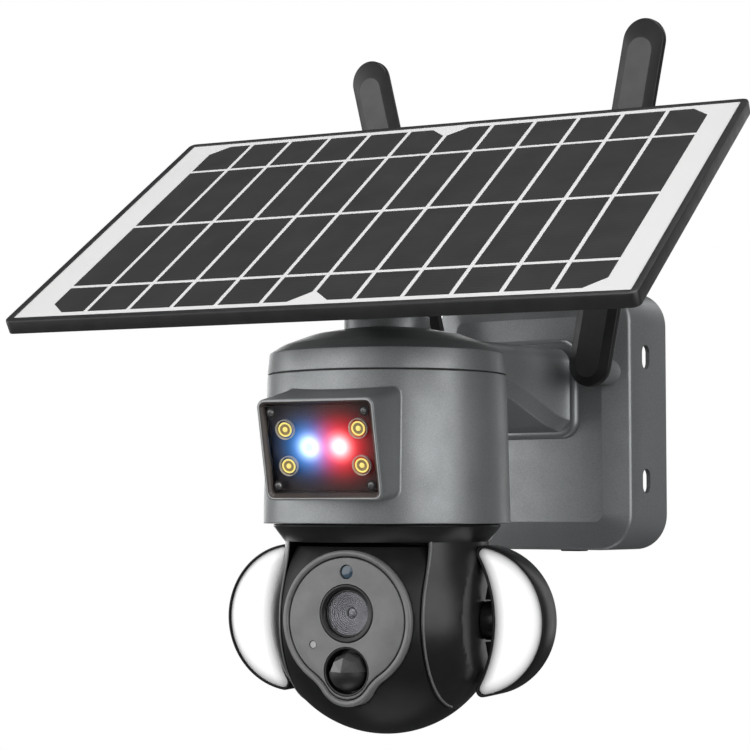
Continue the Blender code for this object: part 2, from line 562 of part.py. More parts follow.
def build_floodlight(head, side, sign):
    """One floodlight, drawn for the right side; the left one is its mirror image."""
    def stand(outline, low, high, name, finish=None):
        points = [(sign * x, z) for x, z in outline]
        return flat(name, points[::sign], low, high, head, finish, rotation=(math.radians(90), 0, 0),
                    place=(0, 0, BALL_Z + LIGHT_Z))

    back = LIGHT_FRONT - LIGHT_DEPTH
    rings = []
    for front, inset in ((LIGHT_FRONT, 0.0), (back + LIGHT_BACK_EDGE, 0.0), (back, LIGHT_BACK_EDGE)):
        rings.append([(sign * x, -front, z + BALL_Z + LIGHT_Z) for x, z in crescent(inset)])
    shell = loft("floodlight_shell_" + side, rings, head, BLACK)
    near, far = sorted((sign * (YOKE_FLAT_X + GAP), sign * BOSS_REACH))
    middle = BALL_Z + LIGHT_Z
    join(shell, block("floodlight_boss_" + side, (near, -LIGHT_FRONT + 0.0010, middle - BOSS_HALF_H),
                      (far, 0.0060, middle + BOSS_HALF_H), head))
    cut(shell, stand(crescent(0.0016), LIGHT_FRONT - 0.0030, 0.05, "diffuser_seat_" + side),
        stand(crescent(0.0034), back + WALL, 0.05, "floodlight_hollow_" + side))
    stand(crescent(0.0019), LIGHT_FRONT - 0.0026, LIGHT_FRONT - 0.0002, "floodlight_diffuser_" + side, WHITE)
    stand(crescent(0.0042), -0.0020, -0.0006, "floodlight_board_" + side, BOARD)
    near, far = sorted((sign * 0.0300, sign * 0.0470))
    rod("tilt_pin_" + side, PIN_R, (near, 0, BALL_Z), (far, 0, BALL_Z), head, METAL)


# Camera ball

def ball_side_outline():
    """The ball's region seen from its side, x forward and y up: open in front and below, a drum behind."""
    back_top = 180 - math.degrees(math.asin(BALL_TOP / BALL_DRUM_R))
    back_low = math.degrees(BALL_BACK_ANGLE)
    reach = 0.09                                      # well outside the sphere
    below = (reach * math.cos(BALL_BACK_ANGLE), reach * math.sin(BALL_BACK_ANGLE))
    return [(reach, BALL_TOP), (reach, -reach), below] + arc((0, 0), BALL_DRUM_R, back_low, back_top - 360, 9)


def sphere_profile(radius, half_w, steps):
    """Profile of a sphere with its two sides cut off, turned about its side-to-side axis."""
    edge = math.degrees(math.asin(half_w / radius))
    side = [(radius * math.cos(math.radians(a)), radius * math.sin(math.radians(a)))
            for a in (edge - 2 * edge * i / steps for i in range(steps + 1))]
    return [(0, half_w)] + side + [(0, -half_w)]


def build_ball(ball):
    side_on = (0, math.radians(90), 0)
    stood = (math.radians(90), 0, math.radians(-90))
    shell = turned("ball_shell", sphere_profile(BALL_R, BALL_HALF_W, 10), ball, BLACK, steps=40,
                   rotation=side_on)
    keep = flat("ball_keep", ball_side_outline(), -0.05, 0.05, ball, rotation=stood)
    combine(shell, keep, "INTERSECT")
    hollow = turned("ball_hollow", sphere_profile(BALL_R - BALL_WALL, BALL_HALF_W - 0.0026, 8), ball,
                    steps=24, rotation=side_on)
    limit = block("ball_hollow_limit", (-0.05, -0.0350, -0.0450), (0.05, 0.0210, 0.0240), ball)
    combine(hollow, limit, "INTERSECT")
    facing = (math.radians(90), 0, 0)
    pocket = flat("face_pocket", teardrop(-GAP), FACE_SEAT - GAP, 0.1, ball, rotation=facing)
    cut(shell, hollow, pocket,
        rod("ball_front_hole", 0.0290, (0, -0.030, 0), (0, -0.045, 0), ball, segments=28),
        rod("ball_pin_hole", PIN_HOLE_R + 0.0001, (-0.05, 0, 0), (0.05, 0, 0), ball))
    build_face(ball, facing)
    block("tilt_motor", (0.0080, -0.0080, -0.0220), (0.0290, 0.0080, -0.0060), ball, METAL, bevel=0.001)


def build_face(ball, facing):
    def front(radius, height, name, x=0.0, segments=24):
        return rod(name, radius, (x, 0, height), (x, -BIG, height), ball, segments=segments)

    bezel = flat("face_bezel", teardrop(), FACE_SEAT, FACE_FRONT, ball, FACE, rotation=facing)
    cut(bezel, flat("bezel_hole", teardrop(BEZEL_W), 0, 0.1, ball, rotation=facing))
    plate = flat("face_plate", teardrop(BEZEL_W + 2 * GAP), FACE_SEAT, FACE_FRONT - 0.0004, ball, FACE,
                 rotation=facing)
    cut(plate, front(LENS_R + GAP, LENS_Z, "lens_hole"), front(PIR_R, PIR_Z, "pir_hole"),
        front(LIGHT_SENSOR_R + GAP, LIGHT_SENSOR_Z, "light_sensor_hole", segments=16),
        front(MIC_R, MIC_Z, "mic_hole", x=MIC_X, segments=12))
    barrel = ((0, 0.0400), (GLASS_R + GAP, 0.0400), (GLASS_R + GAP, 0.0466), (0.0124, 0.0490),
              (LENS_R, 0.0490), (LENS_R, 0.0300), (0.0110, 0.0290), (0.0110, 0.0200), (0, 0.0200))
    turned("lens_barrel", barrel, ball, DARK, steps=24, place=(0, 0, LENS_Z), rotation=facing)
    glass = ((0, 0.0462), (0.0040, 0.0460), (0.0078, 0.0452), (GLASS_R, 0.0438), (GLASS_R, 0.0404),
             (0, 0.0404))
    turned("lens_glass", glass, ball, GLASS, steps=24, place=(0, 0, LENS_Z), rotation=facing)
    sensor = ((0, 0.0482), (0.0022, 0.0478), (LIGHT_SENSOR_R, 0.0470), (LIGHT_SENSOR_R, 0.0390), (0, 0.0390))
    turned("light_sensor", sensor, ball, GLASS, steps=16, place=(0, 0, LIGHT_SENSOR_Z), rotation=facing)
    dome_r = PIR_R - GAP
    dome = [(dome_r * math.sin(math.radians(a)), 0.0462 + 0.0092 * math.cos(math.radians(a)))
            for a in (0, 22, 45, 67, 90)]
    dome[0] = (0, dome[0][1])
    turned("pir_lens", dome + [(dome_r, 0.0400), (0, 0.0400)], ball, DARK, steps=22, place=(0, 0, PIR_Z),
           rotation=facing)
    block("sensor_board", (-0.0200, -0.0190, -0.0180), (0.0200, -0.0176, 0.0200), ball, BOARD)


# Solar panel and its mount

def build_neck(head, swivel):
    low = CAP_TOP + GAP
    turned("neck_collar", ((0.0080, NECK_TOP), (NECK_R - 0.0006, NECK_TOP), (NECK_R, NECK_TOP - 0.0006),
                           (NECK_R, low), (0.0080, low)), head, GREY, steps=28, ring=True)
    foot = NECK_TOP + GAP
    post = turned("swivel_post", ((0, 0.0620), (0.0130, 0.0620), (0.0130, 0.0500), (0.0190, 0.0490),
                                  (0.0190, foot), (0, foot)), swivel, BLACK, steps=24)
    width = FORK_X + FORK_T
    join(post, block("fork_outside", (-width, -FORK_R, 0.0560), (width, FORK_R, PIVOT_Z), swivel),
         rod("fork_eye", FORK_R, (-width, 0, PIVOT_Z), (width, 0, PIVOT_Z), swivel, segments=24))
    cut(post, block("fork_slot", (-FORK_X, -0.05, 0.0655), (FORK_X, 0.05, 0.12), swivel),
        rod("fork_bore", 0.0033, (-0.05, 0, PIVOT_Z), (0.05, 0, PIVOT_Z), swivel, segments=16))
    across = (0, math.radians(90), 0)
    bolt = ((0, 0.0148), (0.0030, 0.0148), (0.0030, -width - GAP), (0.0052, -width - GAP), (0.0052, -0.0140),
            (0, -0.0140))
    turned("hinge_bolt", bolt, swivel, METAL, steps=16, place=(0, 0, PIVOT_Z), rotation=across)
    near = width + GAP
    knob = ((0, 0.0190), (0.0060, 0.0190), (0.0075, 0.0175), (0.0075, near), (0.0033, near), (0.0033, 0.0151),
            (0, 0.0151))
    turned("hinge_knob", knob, swivel, DARK, steps=20, place=(0, 0, PIVOT_Z), rotation=across)


def build_panel(panel):
    under = PANEL_HEIGHT - PANEL_T
    middle = (0, PANEL_SHIFT, 0)
    frame = flat("panel_frame", rounded_rect(PANEL_HALF_W, PANEL_HALF_D, PANEL_CORNER, 3), under,
                 PANEL_HEIGHT, panel, DARK, place=middle)
    half_w, half_d = PANEL_HALF_W - PANEL_LIP, PANEL_HALF_D - PANEL_LIP
    sheet_top = PANEL_HEIGHT - SHEET_DROP
    pocket_top = under + POCKET_DEPTH
    cut(frame,
        block("laminate_seat", (-half_w - GAP, PANEL_SHIFT - half_d - GAP, sheet_top - SHEET_T - GAP),
              (half_w + GAP, PANEL_SHIFT + half_d + GAP, BIG), panel),
        block("panel_underside", (-half_w, PANEL_SHIFT - half_d, 0),
              (half_w, PANEL_SHIFT + half_d, pocket_top), panel))
    block("cell_laminate", (-half_w, PANEL_SHIFT - half_d, sheet_top - SHEET_T),
          (half_w, PANEL_SHIFT + half_d, sheet_top), panel, SHEET)
    web = pocket_top - GAP
    bracket = block("panel_bracket", (-0.0340, -0.0240, web - 0.0030), (0.0340, 0.0240, web), panel, BLACK)
    lug = FORK_X - GAP
    join(bracket, block("lug_outside", (-lug, -0.0080, 0), (lug, 0.0080, web - 0.0010), panel),
         rod("lug_eye", 0.0080, (-lug, 0, 0), (lug, 0, 0), panel, segments=24))
    cut(bracket, rod("lug_bore", 0.0033, (-0.05, 0, 0), (0.05, 0, 0), panel, segments=16))
    block("junction_box", (-0.0240, 0.0500, web - 0.0100), (0.0240, 0.0800, web), panel, DARK, bevel=0.0012)


# Antennas

def blade_outline(radius, low, high):
    return arc((0, low + radius), radius, 180, 360, 10) + arc((0, high - radius), radius, 0, 180, 10)


def build_antenna(side, sign):
    hinge = frame_empty("antenna_axis_" + side, (sign * ANTENNA_X, 0, ANTENNA_Z), (0, sign * LEANS[side], 0))
    whole = blade_outline(BLADE_R, BLADE_LOW, BLADE_HIGH)
    face = blade_outline(BLADE_FACE_R, BLADE_FACE_LOW, BLADE_FACE_HIGH)
    levels = ((0.0, face), (BLADE_CHAMFER, whole), (BLADE_T - BLADE_CHAMFER, whole), (BLADE_T, face))
    rings = [[(x, BLADE_BACK_Y - depth, z) for x, z in outline] for depth, outline in levels]
    blade = loft("antenna_" + side, rings, hinge, DARK)
    bolt_end = BLADE_BACK_Y - ANTENNA_BOLT_REACH
    cut(blade, rod("blade_bore_" + side, ANTENNA_BORE_R, (0, 0, 0), (0, bolt_end - GAP, 0), hinge,
                   segments=16))
    bolt_x = sign * ANTENNA_X
    rod("antenna_bolt_" + side, ANTENNA_BOLT_R, (bolt_x, -0.0365, ANTENNA_Z), (bolt_x, bolt_end, ANTENNA_Z),
        finish=METAL, segments=16)


def build_camera():
    head = frame_empty("head_axis", (0, -HEAD_REACH, 0), (0, 0, HEAD_TURN))
    ball = frame_empty("ball_axis", (0, 0, BALL_Z), parent=head)
    swivel = frame_empty("swivel_axis", (0, 0, 0), (0, 0, PANEL_TURN), head)
    panel = frame_empty("panel_axis", (0, 0, PIVOT_Z), (PANEL_TILT, 0, 0), swivel)
    housing = build_wall_box()
    build_battery()
    build_arm(head)
    build_head(head)
    build_yoke(head)
    for side, sign in (("right", 1), ("left", -1)):
        build_floodlight(head, side, sign)
        build_antenna(side, sign)
        x = sign * ANTENNA_X
        cut(housing, rod("boss_bore_" + side, ANTENNA_BORE_R, (x, 0, ANTENNA_Z), (x, -BIG, ANTENNA_Z),
                         segments=16))
    build_ball(ball)
    build_neck(head, swivel)
    build_panel(panel)


build_camera()
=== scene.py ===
"""Looks of the solar-powered security camera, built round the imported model.

Lengths are in millimetres, and every mesh is brought to metres when it is made. Each piece is drawn in the
frame of the part it belongs to: the box, the head, the ball, the lamp window, the panel or an antenna. Those
frames come from the record's joints. In the head's frame the camera looks along local -Y.
"""
import json
from math import asin, atan2, cos, degrees, dist, pi, radians, sin, sqrt, tan

import bmesh
import bpy
from mathutils import Matrix, Vector


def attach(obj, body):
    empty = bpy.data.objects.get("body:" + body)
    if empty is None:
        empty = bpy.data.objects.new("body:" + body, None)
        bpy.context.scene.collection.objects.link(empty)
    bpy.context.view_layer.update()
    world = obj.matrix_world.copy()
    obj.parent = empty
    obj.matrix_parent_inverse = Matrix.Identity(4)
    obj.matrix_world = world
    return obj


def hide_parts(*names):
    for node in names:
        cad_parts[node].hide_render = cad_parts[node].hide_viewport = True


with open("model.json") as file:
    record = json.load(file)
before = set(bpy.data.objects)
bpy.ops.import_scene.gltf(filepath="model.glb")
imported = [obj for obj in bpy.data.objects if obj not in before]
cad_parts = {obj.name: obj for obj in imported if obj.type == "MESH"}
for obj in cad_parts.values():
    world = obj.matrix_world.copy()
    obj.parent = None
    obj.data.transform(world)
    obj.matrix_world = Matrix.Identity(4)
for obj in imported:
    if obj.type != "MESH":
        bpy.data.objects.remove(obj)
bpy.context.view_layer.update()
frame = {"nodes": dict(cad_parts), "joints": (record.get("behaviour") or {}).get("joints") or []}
MM = 0.001
WHITE = (1.0, 1.0, 1.0, 1.0)
SHARP, FRAME_SHARP = 32, 40  # degrees between faces above which an edge stays sharp
SIDES = (("right", 1), ("left", -1))


# Frames, in millimetres

def joint(name):
    return next(j for j in frame["joints"] if j["name"] == name)


def joint_place(name):
    return Vector(joint(name)["pos_m"]) / MM


def turn(angle, axis):
    return Matrix.Rotation(radians(angle), 4, axis)


def shift(x, y, z):
    return Matrix.Translation((x, y, z))


TILT_AXIS = Vector(joint("ball_tilt")["axis"])
HEAD_TURN = degrees(atan2(TILT_AXIS.y, TILT_AXIS.x))
HEAD_REACH = -joint_place("head_pan").y
BALL_Z = joint_place("ball_tilt").z
PIVOT_Z = joint_place("panel_tilt").z
PANEL_AXIS = Vector(joint("panel_tilt")["axis"])
PANEL_YAW = degrees(atan2(PANEL_AXIS.y, PANEL_AXIS.x))
PANEL_TILT = 32.5  # degrees at rest, from level
LEANS = {"right": 11.3, "left": 14.0}  # degrees at rest, from upright

BOX = Matrix.Identity(4)
HEAD = shift(0, -HEAD_REACH, 0) @ turn(HEAD_TURN, "Z")
BALL = HEAD @ shift(0, 0, BALL_Z)
PANEL = shift(0, -HEAD_REACH, PIVOT_Z) @ turn(PANEL_YAW, "Z") @ turn(PANEL_TILT, "X")
FACING = turn(90, "X")  # draws in XY, with local Z coming out of the front
SIDE_ON = turn(90, "Y")  # turns a lathe's axis sideways

# Top and low edge of the lamp window's plane: distance in front of the head's axis, and height
WINDOW_TOP, WINDOW_LOW = (83.3, 2.2), (71.7, -44.2)
WINDOW_DROOP = degrees(atan2(WINDOW_TOP[0] - WINDOW_LOW[0], WINDOW_TOP[1] - WINDOW_LOW[1]))
WINDOW = (HEAD @ shift(0, -(WINDOW_TOP[0] + WINDOW_LOW[0]) / 2, (WINDOW_TOP[1] + WINDOW_LOW[1]) / 2)
          @ turn(90 + WINDOW_DROOP, "X"))


# Outlines

def arc(centre, radius, start, end, steps):
    angles = [radians(start + (end - start) * i / steps) for i in range(steps + 1)]
    return [(centre[0] + radius * cos(a), centre[1] + radius * sin(a)) for a in angles]


EDGE_SHARE = 0.49  # the most of an edge that one corner's arc may take


def fillet(points, radii, steps):
    """Rounds the corners of an outline, by one radius for each point."""
    rounded = []
    for i, (point, radius) in enumerate(zip(points, radii)):
        if not radius:
            rounded.append(tuple(point))
            continue
        corner = Vector(point)
        back, ahead = Vector(points[i - 1]) - corner, Vector(points[(i + 1) % len(points)]) - corner
        half = back.angle(ahead) / 2
        reach = min(radius / tan(half), EDGE_SHARE * min(back.length, ahead.length))
        back.normalize()
        ahead.normalize()
        centre = corner + (back + ahead).normalized() * (reach / cos(half))
        start, end = corner + back * reach - centre, corner + ahead * reach - centre
        first = atan2(start.y, start.x)
        sweep = (atan2(end.y, end.x) - first + pi) % (2 * pi) - pi
        for k in range(steps + 1):
            angle = first + sweep * k / steps
            rounded.append((centre.x + start.length * cos(angle),
                            centre.y + start.length * sin(angle)))
    return rounded


def inset(outline, distance):
    """Moves a closed anticlockwise outline inwards."""
    moved = []
    count = len(outline)
    for i in range(count):
        here = Vector(outline[i])
        before, after = here - Vector(outline[i - 1]), Vector(outline[(i + 1) % count]) - here
        before.normalize()
        after.normalize()
        left_a, left_b = Vector((-before.y, before.x)), Vector((-after.y, after.x))
        moved.append(tuple(here + (left_a + left_b) * (distance / max(1 + left_a.dot(left_b), 0.3))))
    return moved


def rounded_rect(half_w, half_h, radius, steps=8, side_points=0):
    """Anticlockwise from the right-hand end of the top right corner's arc."""
    corners = [arc((sx * (half_w - radius), sy * (half_h - radius)), radius, start, start + 90, steps)
               for sx, sy, start in ((1, 1, 0), (-1, 1, 90), (-1, -1, 180), (1, -1, 270))]
    points = []
    for corner, after in zip(corners, corners[1:] + corners[:1]):
        a, b = Vector(corner[-1]), Vector(after[0])
        points += corner + [tuple(a.lerp(b, (i + 1) / (side_points + 1))) for i in range(side_points)]
    return points


def smooth_path(points, steps):
    """Catmull-Rom curve through points of any number of values."""
    path = []
    last = len(points) - 1
    for i in range(last):
        knots = [points[max(i - 1, 0)], points[i], points[i + 1], points[min(i + 2, last)]]
        for k in range(steps):
            t = k / steps
            path.append(tuple(
                0.5 * (2 * b + (c - a) * t + (2 * a - 5 * b + 4 * c - d) * t * t
                       + (3 * b - a - 3 * c + d) * t ** 3)
                for a, b, c, d in zip(*knots)))
    return path + [tuple(points[-1])]


def stack(outline, section):
    """Rings of an outline, one at each (distance inwards, height) of a section."""
    return [[(x, y, z) for x, y in (inset(outline, across) if across else outline)] for across, z in section]


def dome(radius, base, rise, step):
    """Profile of a dome for a lathe, from its top out to its rim, every step degrees."""
    return [(radius * sin(a), base + rise * cos(a)) for a in map(radians, range(0, 91, step))]


# Meshes

def added(name, data):
    thing = bpy.data.objects.new(name, data)
    bpy.context.scene.collection.objects.link(thing)
    return thing


def placed(name, bm, at, finish, sharp=SHARP):
    bmesh.ops.recalc_face_normals(bm, faces=bm.faces)
    bmesh.ops.scale(bm, vec=(MM, MM, MM), verts=bm.verts)
    mesh = bpy.data.meshes.new(name)
    bm.to_mesh(mesh)
    bm.free()
    thing = added(name, mesh)
    thing.matrix_world = Matrix.Translation(at.translation * MM) @ at.to_3x3().to_4x4()
    if finish:
        mesh.materials.append(finish)
    shade(mesh, sharp)
    return thing


def shade(mesh, sharp):
    mesh.shade_smooth()
    mesh.set_sharp_from_angle(angle=radians(sharp))


def skin(name, rings, at, finish, closed=False, sharp=SHARP):
    """Skins rings of points. A ring of one point is a tip; closed joins the last ring to the first."""
    bm = bmesh.new()
    loops = [[bm.verts.new(point) for point in ring] for ring in rings]
    around = max(len(loop) for loop in loops)
    for lower, upper in zip(loops, loops[1:] + (loops[:1] if closed else [])):
        for i in range(around):
            j = (i + 1) % around
            corners = list(dict.fromkeys((lower[i % len(lower)], lower[j % len(lower)],
                                          upper[j % len(upper)], upper[i % len(upper)])))
            if len(corners) > 2:
                bm.faces.new(corners)
    if not closed:
        for loop in (loops[0], loops[-1]):
            if len(loop) > 2:
                bm.faces.new(loop)
    return placed(name, bm, at, finish, sharp)


def lathe(name, profile, at, finish, steps, closed=False, sharp=SHARP):
    """Turns a profile of (radius, height) about local Z. An open profile starts and ends on the axis."""
    around = [2 * pi * i / steps for i in range(steps)]
    rings = [[(radius * cos(a), radius * sin(a), height) for a in around] if radius > 1e-4
             else [(0, 0, height)] for radius, height in profile]
    return skin(name, rings, at, finish, closed, sharp)


def band(name, outline, section, at, finish):
    """A frame that follows an outline."""
    return skin(name, stack(outline, section), at, finish, closed=True, sharp=FRAME_SHARP)


def slab(name, outline, low, high, at, finish, round_top=0.0, round_low=0.0, steps=4):
    """Extrudes an anticlockwise outline along local Z, with rounded rims."""
    quarter = [(1 - sin(a), 1 - cos(a)) for a in (pi / 2 * k / steps for k in range(steps + 1))]
    section = [(round_low * a, low + round_low * b) for a, b in (quarter if round_low else quarter[:1])]
    section += [(round_top * b, high - round_top * a) for a, b in (quarter if round_top else quarter[:1])]
    return skin(name, stack(outline, section), at, finish)


def block(name, low, high, at, finish, rounding=0.0):
    low, high = Vector(low), Vector(high)
    half = (high - low) / 2
    outline = rounded_rect(half.x, half.y, max(rounding, 0.02), 3)
    return slab(name, outline, -half.z, half.z, at @ Matrix.Translation((low + high) / 2), finish,
                rounding, rounding, 3)


def prism(bm, top, bottom):
    """Adds a closed prism between two rings of as many points."""
    lower, upper = [bm.verts.new(point) for point in bottom], [bm.verts.new(point) for point in top]
    bm.faces.new(upper)
    bm.faces.new(lower[::-1])
    for k in range(len(upper)):
        m = (k + 1) % len(upper)
        bm.faces.new((lower[k], lower[m], upper[m], upper[k]))


def rebuild(thing, sharp):
    """Applies an object's modifiers."""
    mesh = bpy.data.meshes.new_from_object(thing.evaluated_get(bpy.context.evaluated_depsgraph_get()))
    thing.modifiers.clear()
    thing.data = mesh
    shade(mesh, sharp)


def combine(thing, other, operation="DIFFERENCE"):
    boolean = thing.modifiers.new("boolean", "BOOLEAN")
    boolean.operation = operation
    boolean.solver = "EXACT"
    boolean.object = other
    bpy.context.view_layer.update()
    rebuild(thing, SHARP)
    bpy.data.objects.remove(other, do_unlink=True)


def soften(thing, width, segments, angle):
    """Bevels the edges that turn by more than an angle in degrees."""
    bevel = thing.modifiers.new("soften", "BEVEL")
    bevel.width = width * MM
    bevel.segments = segments
    bevel.limit_method = "ANGLE"
    bevel.angle_limit = radians(angle)
    rebuild(thing, FRAME_SHARP)


def mount(thing, body, slot, *nodes):
    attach(thing, body)
    if nodes:
        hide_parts(*nodes)


# Materials

class Finish:
    """A node material under construction: the shader and a chain of noise textures in object space."""

    def __init__(self, name, colour, roughness, metallic=0.0, coat=0.0, specular=0.5):
        self.material = bpy.data.materials.new(name)
        self.material.use_nodes = True
        self.tree = self.material.node_tree
        self.shader = self.tree.nodes["Principled BSDF"]
        self.set("Base Color", (*colour, 1.0))
        self.set("Roughness", roughness)
        self.set("Metallic", metallic)
        self.set("Coat Weight", coat)
        self.set("Coat Roughness", 0.08)
        self.set("Specular IOR Level", specular)
        self.colour = colour
        self.coordinates = self.node("TexCoord").outputs["Object"]

    def set(self, socket, value):
        self.shader.inputs[socket].default_value = value

    def link(self, source, target):
        """Links a socket to another, or sets the other to a constant."""
        if isinstance(source, bpy.types.NodeSocket):
            self.tree.links.new(source, target)
        else:
            target.default_value = source

    def node(self, kind, **values):
        made = self.tree.nodes.new("ShaderNode" + kind)
        for key, value in values.items():
            if key in made.inputs:
                made.inputs[key].default_value = value
            else:
                setattr(made, key, value)
        return made

    def feed(self, made, *values):
        """Gives a node's inputs, in their order, sockets or constants."""
        for value, socket in zip(values, made.inputs):
            self.link(value, socket)
        return made

    def calc(self, kind, operation, *values):
        return self.feed(self.node(kind, operation=operation), *values)

    def noise(self, size, detail):
        """Noise whose features are about size millimetres across."""
        texture = self.node("TexNoise", Scale=1.0 / (size * MM), Detail=detail)
        self.link(self.coordinates, texture.inputs["Vector"])
        return texture.outputs["Fac"]

    def remap(self, *values):
        """Takes a socket, the range it comes in (low, high) and the range it is mapped to."""
        return self.feed(self.node("MapRange"), *values).outputs["Result"]

    def spread(self, source, low, high):
        """Maps the middle of a noise's range to low..high."""
        return self.remap(source, 0.3, 0.7, low, high)

    def mix(self, factor, first, second):
        """Sets the colour to a mix of two, each a socket or a constant."""
        made = self.node("Mix", data_type="RGBA")
        for source, number in ((factor, 0), (first, 6), (second, 7)):
            self.link(source, made.inputs[number])
        self.link(made.outputs[2], self.shader.inputs["Base Color"])
        return made.outputs[2]

    def tint(self, source, dark, light):
        """Varies the colour between two shares of itself."""
        shades = [(*[min(c * share, 1.0) for c in self.colour], 1.0) for share in (dark, light)]
        return self.mix(self.spread(source, 0.0, 1.0), *shades)

    def vary_roughness(self, source, low, high):
        self.link(self.spread(source, low, high), self.shader.inputs["Roughness"])

    def bump(self, source, height, strength):
        bump = self.node("Bump", Strength=strength, Distance=height * MM)
        self.link(source, bump.inputs["Height"])
        self.link(bump.outputs["Normal"], self.shader.inputs["Normal"])


def metallic_plastic():
    finish = Finish("metallic_grey_plastic", (0.245, 0.255, 0.26), 0.4, 0.55)
    finish.tint(finish.noise(0.45, 3.0), 0.84, 1.16)
    finish.vary_roughness(finish.noise(14.0, 4.0), 0.36, 0.46)
    finish.bump(finish.noise(0.38, 2.0), 0.01, 0.5)
    return finish.material


def plastic(name, colour, roughness, grain=0.5, height=0.003, swing=0.03, specular=0.5, coat=0.0):
    finish = Finish(name, colour, roughness, 0.0, coat, specular)
    finish.tint(finish.noise(9.0, 4.0), 0.88, 1.14)
    finish.vary_roughness(finish.noise(6.0, 5.0), roughness - swing, roughness + swing)
    finish.bump(finish.noise(grain, 3.0), height, 0.6)
    return finish.material


def plated_steel(name, colour):
    finish = Finish(name, colour, 0.3, 0.9)
    finish.vary_roughness(finish.noise(1.5, 3.0), 0.24, 0.38)
    finish.bump(finish.noise(0.3, 2.0), 0.002, 0.5)
    return finish.material


def cell_surface():
    """Monocrystalline silicon under a laminated film, with hairline fingers across the strips."""
    finish = Finish("solar_cells", (0.031, 0.031, 0.031), 0.3, 0.0, 0.35)
    silicon = finish.tint(finish.noise(22.0, 5.0), 0.86, 1.16)
    wave = finish.node("TexWave", Scale=110.0, bands_direction="Y")
    finish.link(finish.coordinates, wave.inputs["Vector"])
    lines = finish.remap(wave.outputs["Fac"], 0.93, 1.0, 0.0, 0.35)
    finish.mix(lines, silicon, (0.075, 0.075, 0.075, 1.0))
    return finish.material


def glowing(name, colour, strength, base=(0.02, 0.02, 0.02)):
    finish = Finish(name, base, 0.35)
    finish.set("Emission Color", (*colour, 1.0))
    finish.set("Emission Strength", strength)
    return finish.material


def painted_led_glow(centres, depth):
    """Dark board with painted light on it: a soft round glow round each coloured LED, painted as emission."""
    finish = Finish("painted_led_glow", (0.05, 0.04, 0.038), 0.45)
    total = None
    for x, colour, radius, strength in centres:
        away = finish.calc("VectorMath", "DISTANCE", finish.coordinates, (x * MM, 0, depth * MM))
        scaled = finish.calc("Math", "DIVIDE", away.outputs["Value"], radius * MM)
        square = finish.calc("Math", "POWER", scaled.outputs[0], 2.0)
        fall = finish.calc("Math", "MULTIPLY", square.outputs[0], -1.0)
        bell = finish.calc("Math", "EXPONENT", fall.outputs[0])
        light = finish.calc("VectorMath", "SCALE", [c * strength for c in colour])
        finish.link(bell.outputs[0], light.inputs["Scale"])
        if total is not None:
            light = finish.calc("VectorMath", "ADD", total, light.outputs[0])
        total = light.outputs[0]
    finish.link(total, finish.shader.inputs["Emission Color"])
    finish.set("Emission Strength", 1.0)
    return finish.material


def panel_sheet():
    finish = Finish("panel_sheet", (0.72, 0.72, 0.715), 0.34, 0.0, 0.15)
    finish.tint(finish.noise(60.0, 2.0), 0.985, 1.01)
    finish.vary_roughness(finish.noise(20.0, 3.0), 0.32, 0.37)
    return finish.material


LENS_BASE, LENS_RISE = 6.2, 2.0  # a diffuser's rim, forward of the tilt axis, and its bulge


def diffuser_finish():
    """Lit milky plastic; the fade of its glow towards the low rim of the lens is painted shade."""
    finish = Finish("milky_diffuser", (0.62, 0.62, 0.62), 0.3, 0.0, 0.2)
    finish.vary_roughness(finish.noise(12.0, 3.0), 0.26, 0.34)
    split = finish.node("SeparateXYZ")
    finish.link(finish.coordinates, split.inputs[0])
    finish.set("Emission Color", WHITE)
    # Glow strength by height over the lens: lamp glow at the crown, fading as painted shade towards the rim.
    finish.link(finish.remap(split.outputs["Z"], LENS_BASE * MM, (LENS_BASE + LENS_RISE) * MM, 0.02, 0.72),
                finish.shader.inputs["Emission Strength"])
    return finish.material


def clear(name, colour, ior):
    finish = Finish(name, colour, 0.02)
    finish.set("Transmission Weight", 1.0)
    finish.set("IOR", ior)
    return finish.material


GREY = metallic_plastic()
BLACK = plastic("gloss_black_plastic", (0.014, 0.014, 0.015), 0.31, 0.8, 0.0015, 0.03, 0.35)
BALL_BLACK = plastic("ball_black_plastic", (0.014, 0.014, 0.015), 0.36, 0.8, 0.0015, 0.03, 0.15)
DARK = plastic("satin_black_plastic", (0.018, 0.018, 0.019), 0.42, 0.45, 0.006, 0.05)
# The face inlay is lighter than the blade round it: partly a finish of its own, partly painted light, the
# flat face lit against its shaded sloping band.
BLADE = plastic("antenna_plastic", (0.015, 0.015, 0.016), 0.36, 0.4, 0.004, 0.04, 0.3)
BLADE_FACE = plastic("antenna_face_plastic", (0.04, 0.04, 0.041), 0.5, 0.4, 0.006, 0.04)
FACE = plastic("satin_grey_face", (0.158, 0.158, 0.16), 0.36)
BEZEL = plastic("satin_grey_bezel", (0.15, 0.15, 0.152), 0.3, height=0.002)
# The window rim's light grey is a painted highlight along the window's edge.
RIM_HIGHLIGHT = plastic("window_rim_painted_highlight", (0.42, 0.42, 0.42), 0.35)
WINDOW_EDGE = plastic("window_edge_plastic", (0.06, 0.05, 0.046), 0.3, height=0.002)
DIFFUSER = diffuser_finish()
SHEET = panel_sheet()
STEEL = plated_steel("zinc_plated_steel", (0.52, 0.52, 0.53))
BLACKED = plated_steel("blacked_steel", (0.24, 0.24, 0.24))
RUBBER = plastic("black_rubber", (0.012, 0.012, 0.012), 0.7, 0.3, 0.01, 0.05)
BOARD = plastic("solder_mask", (0.01, 0.06, 0.025), 0.4, 0.6, 0.004, 0.05, coat=0.2)
SLEEVE = plastic("cell_sleeve", (0.03, 0.12, 0.25), 0.35, 0.8, 0.002, 0.04)
CELLS = cell_surface()
SENSOR = plastic("light_sensor_blue", (0.05, 0.085, 0.12), 0.18, 0.8, 0.001, 0.02, coat=0.4)
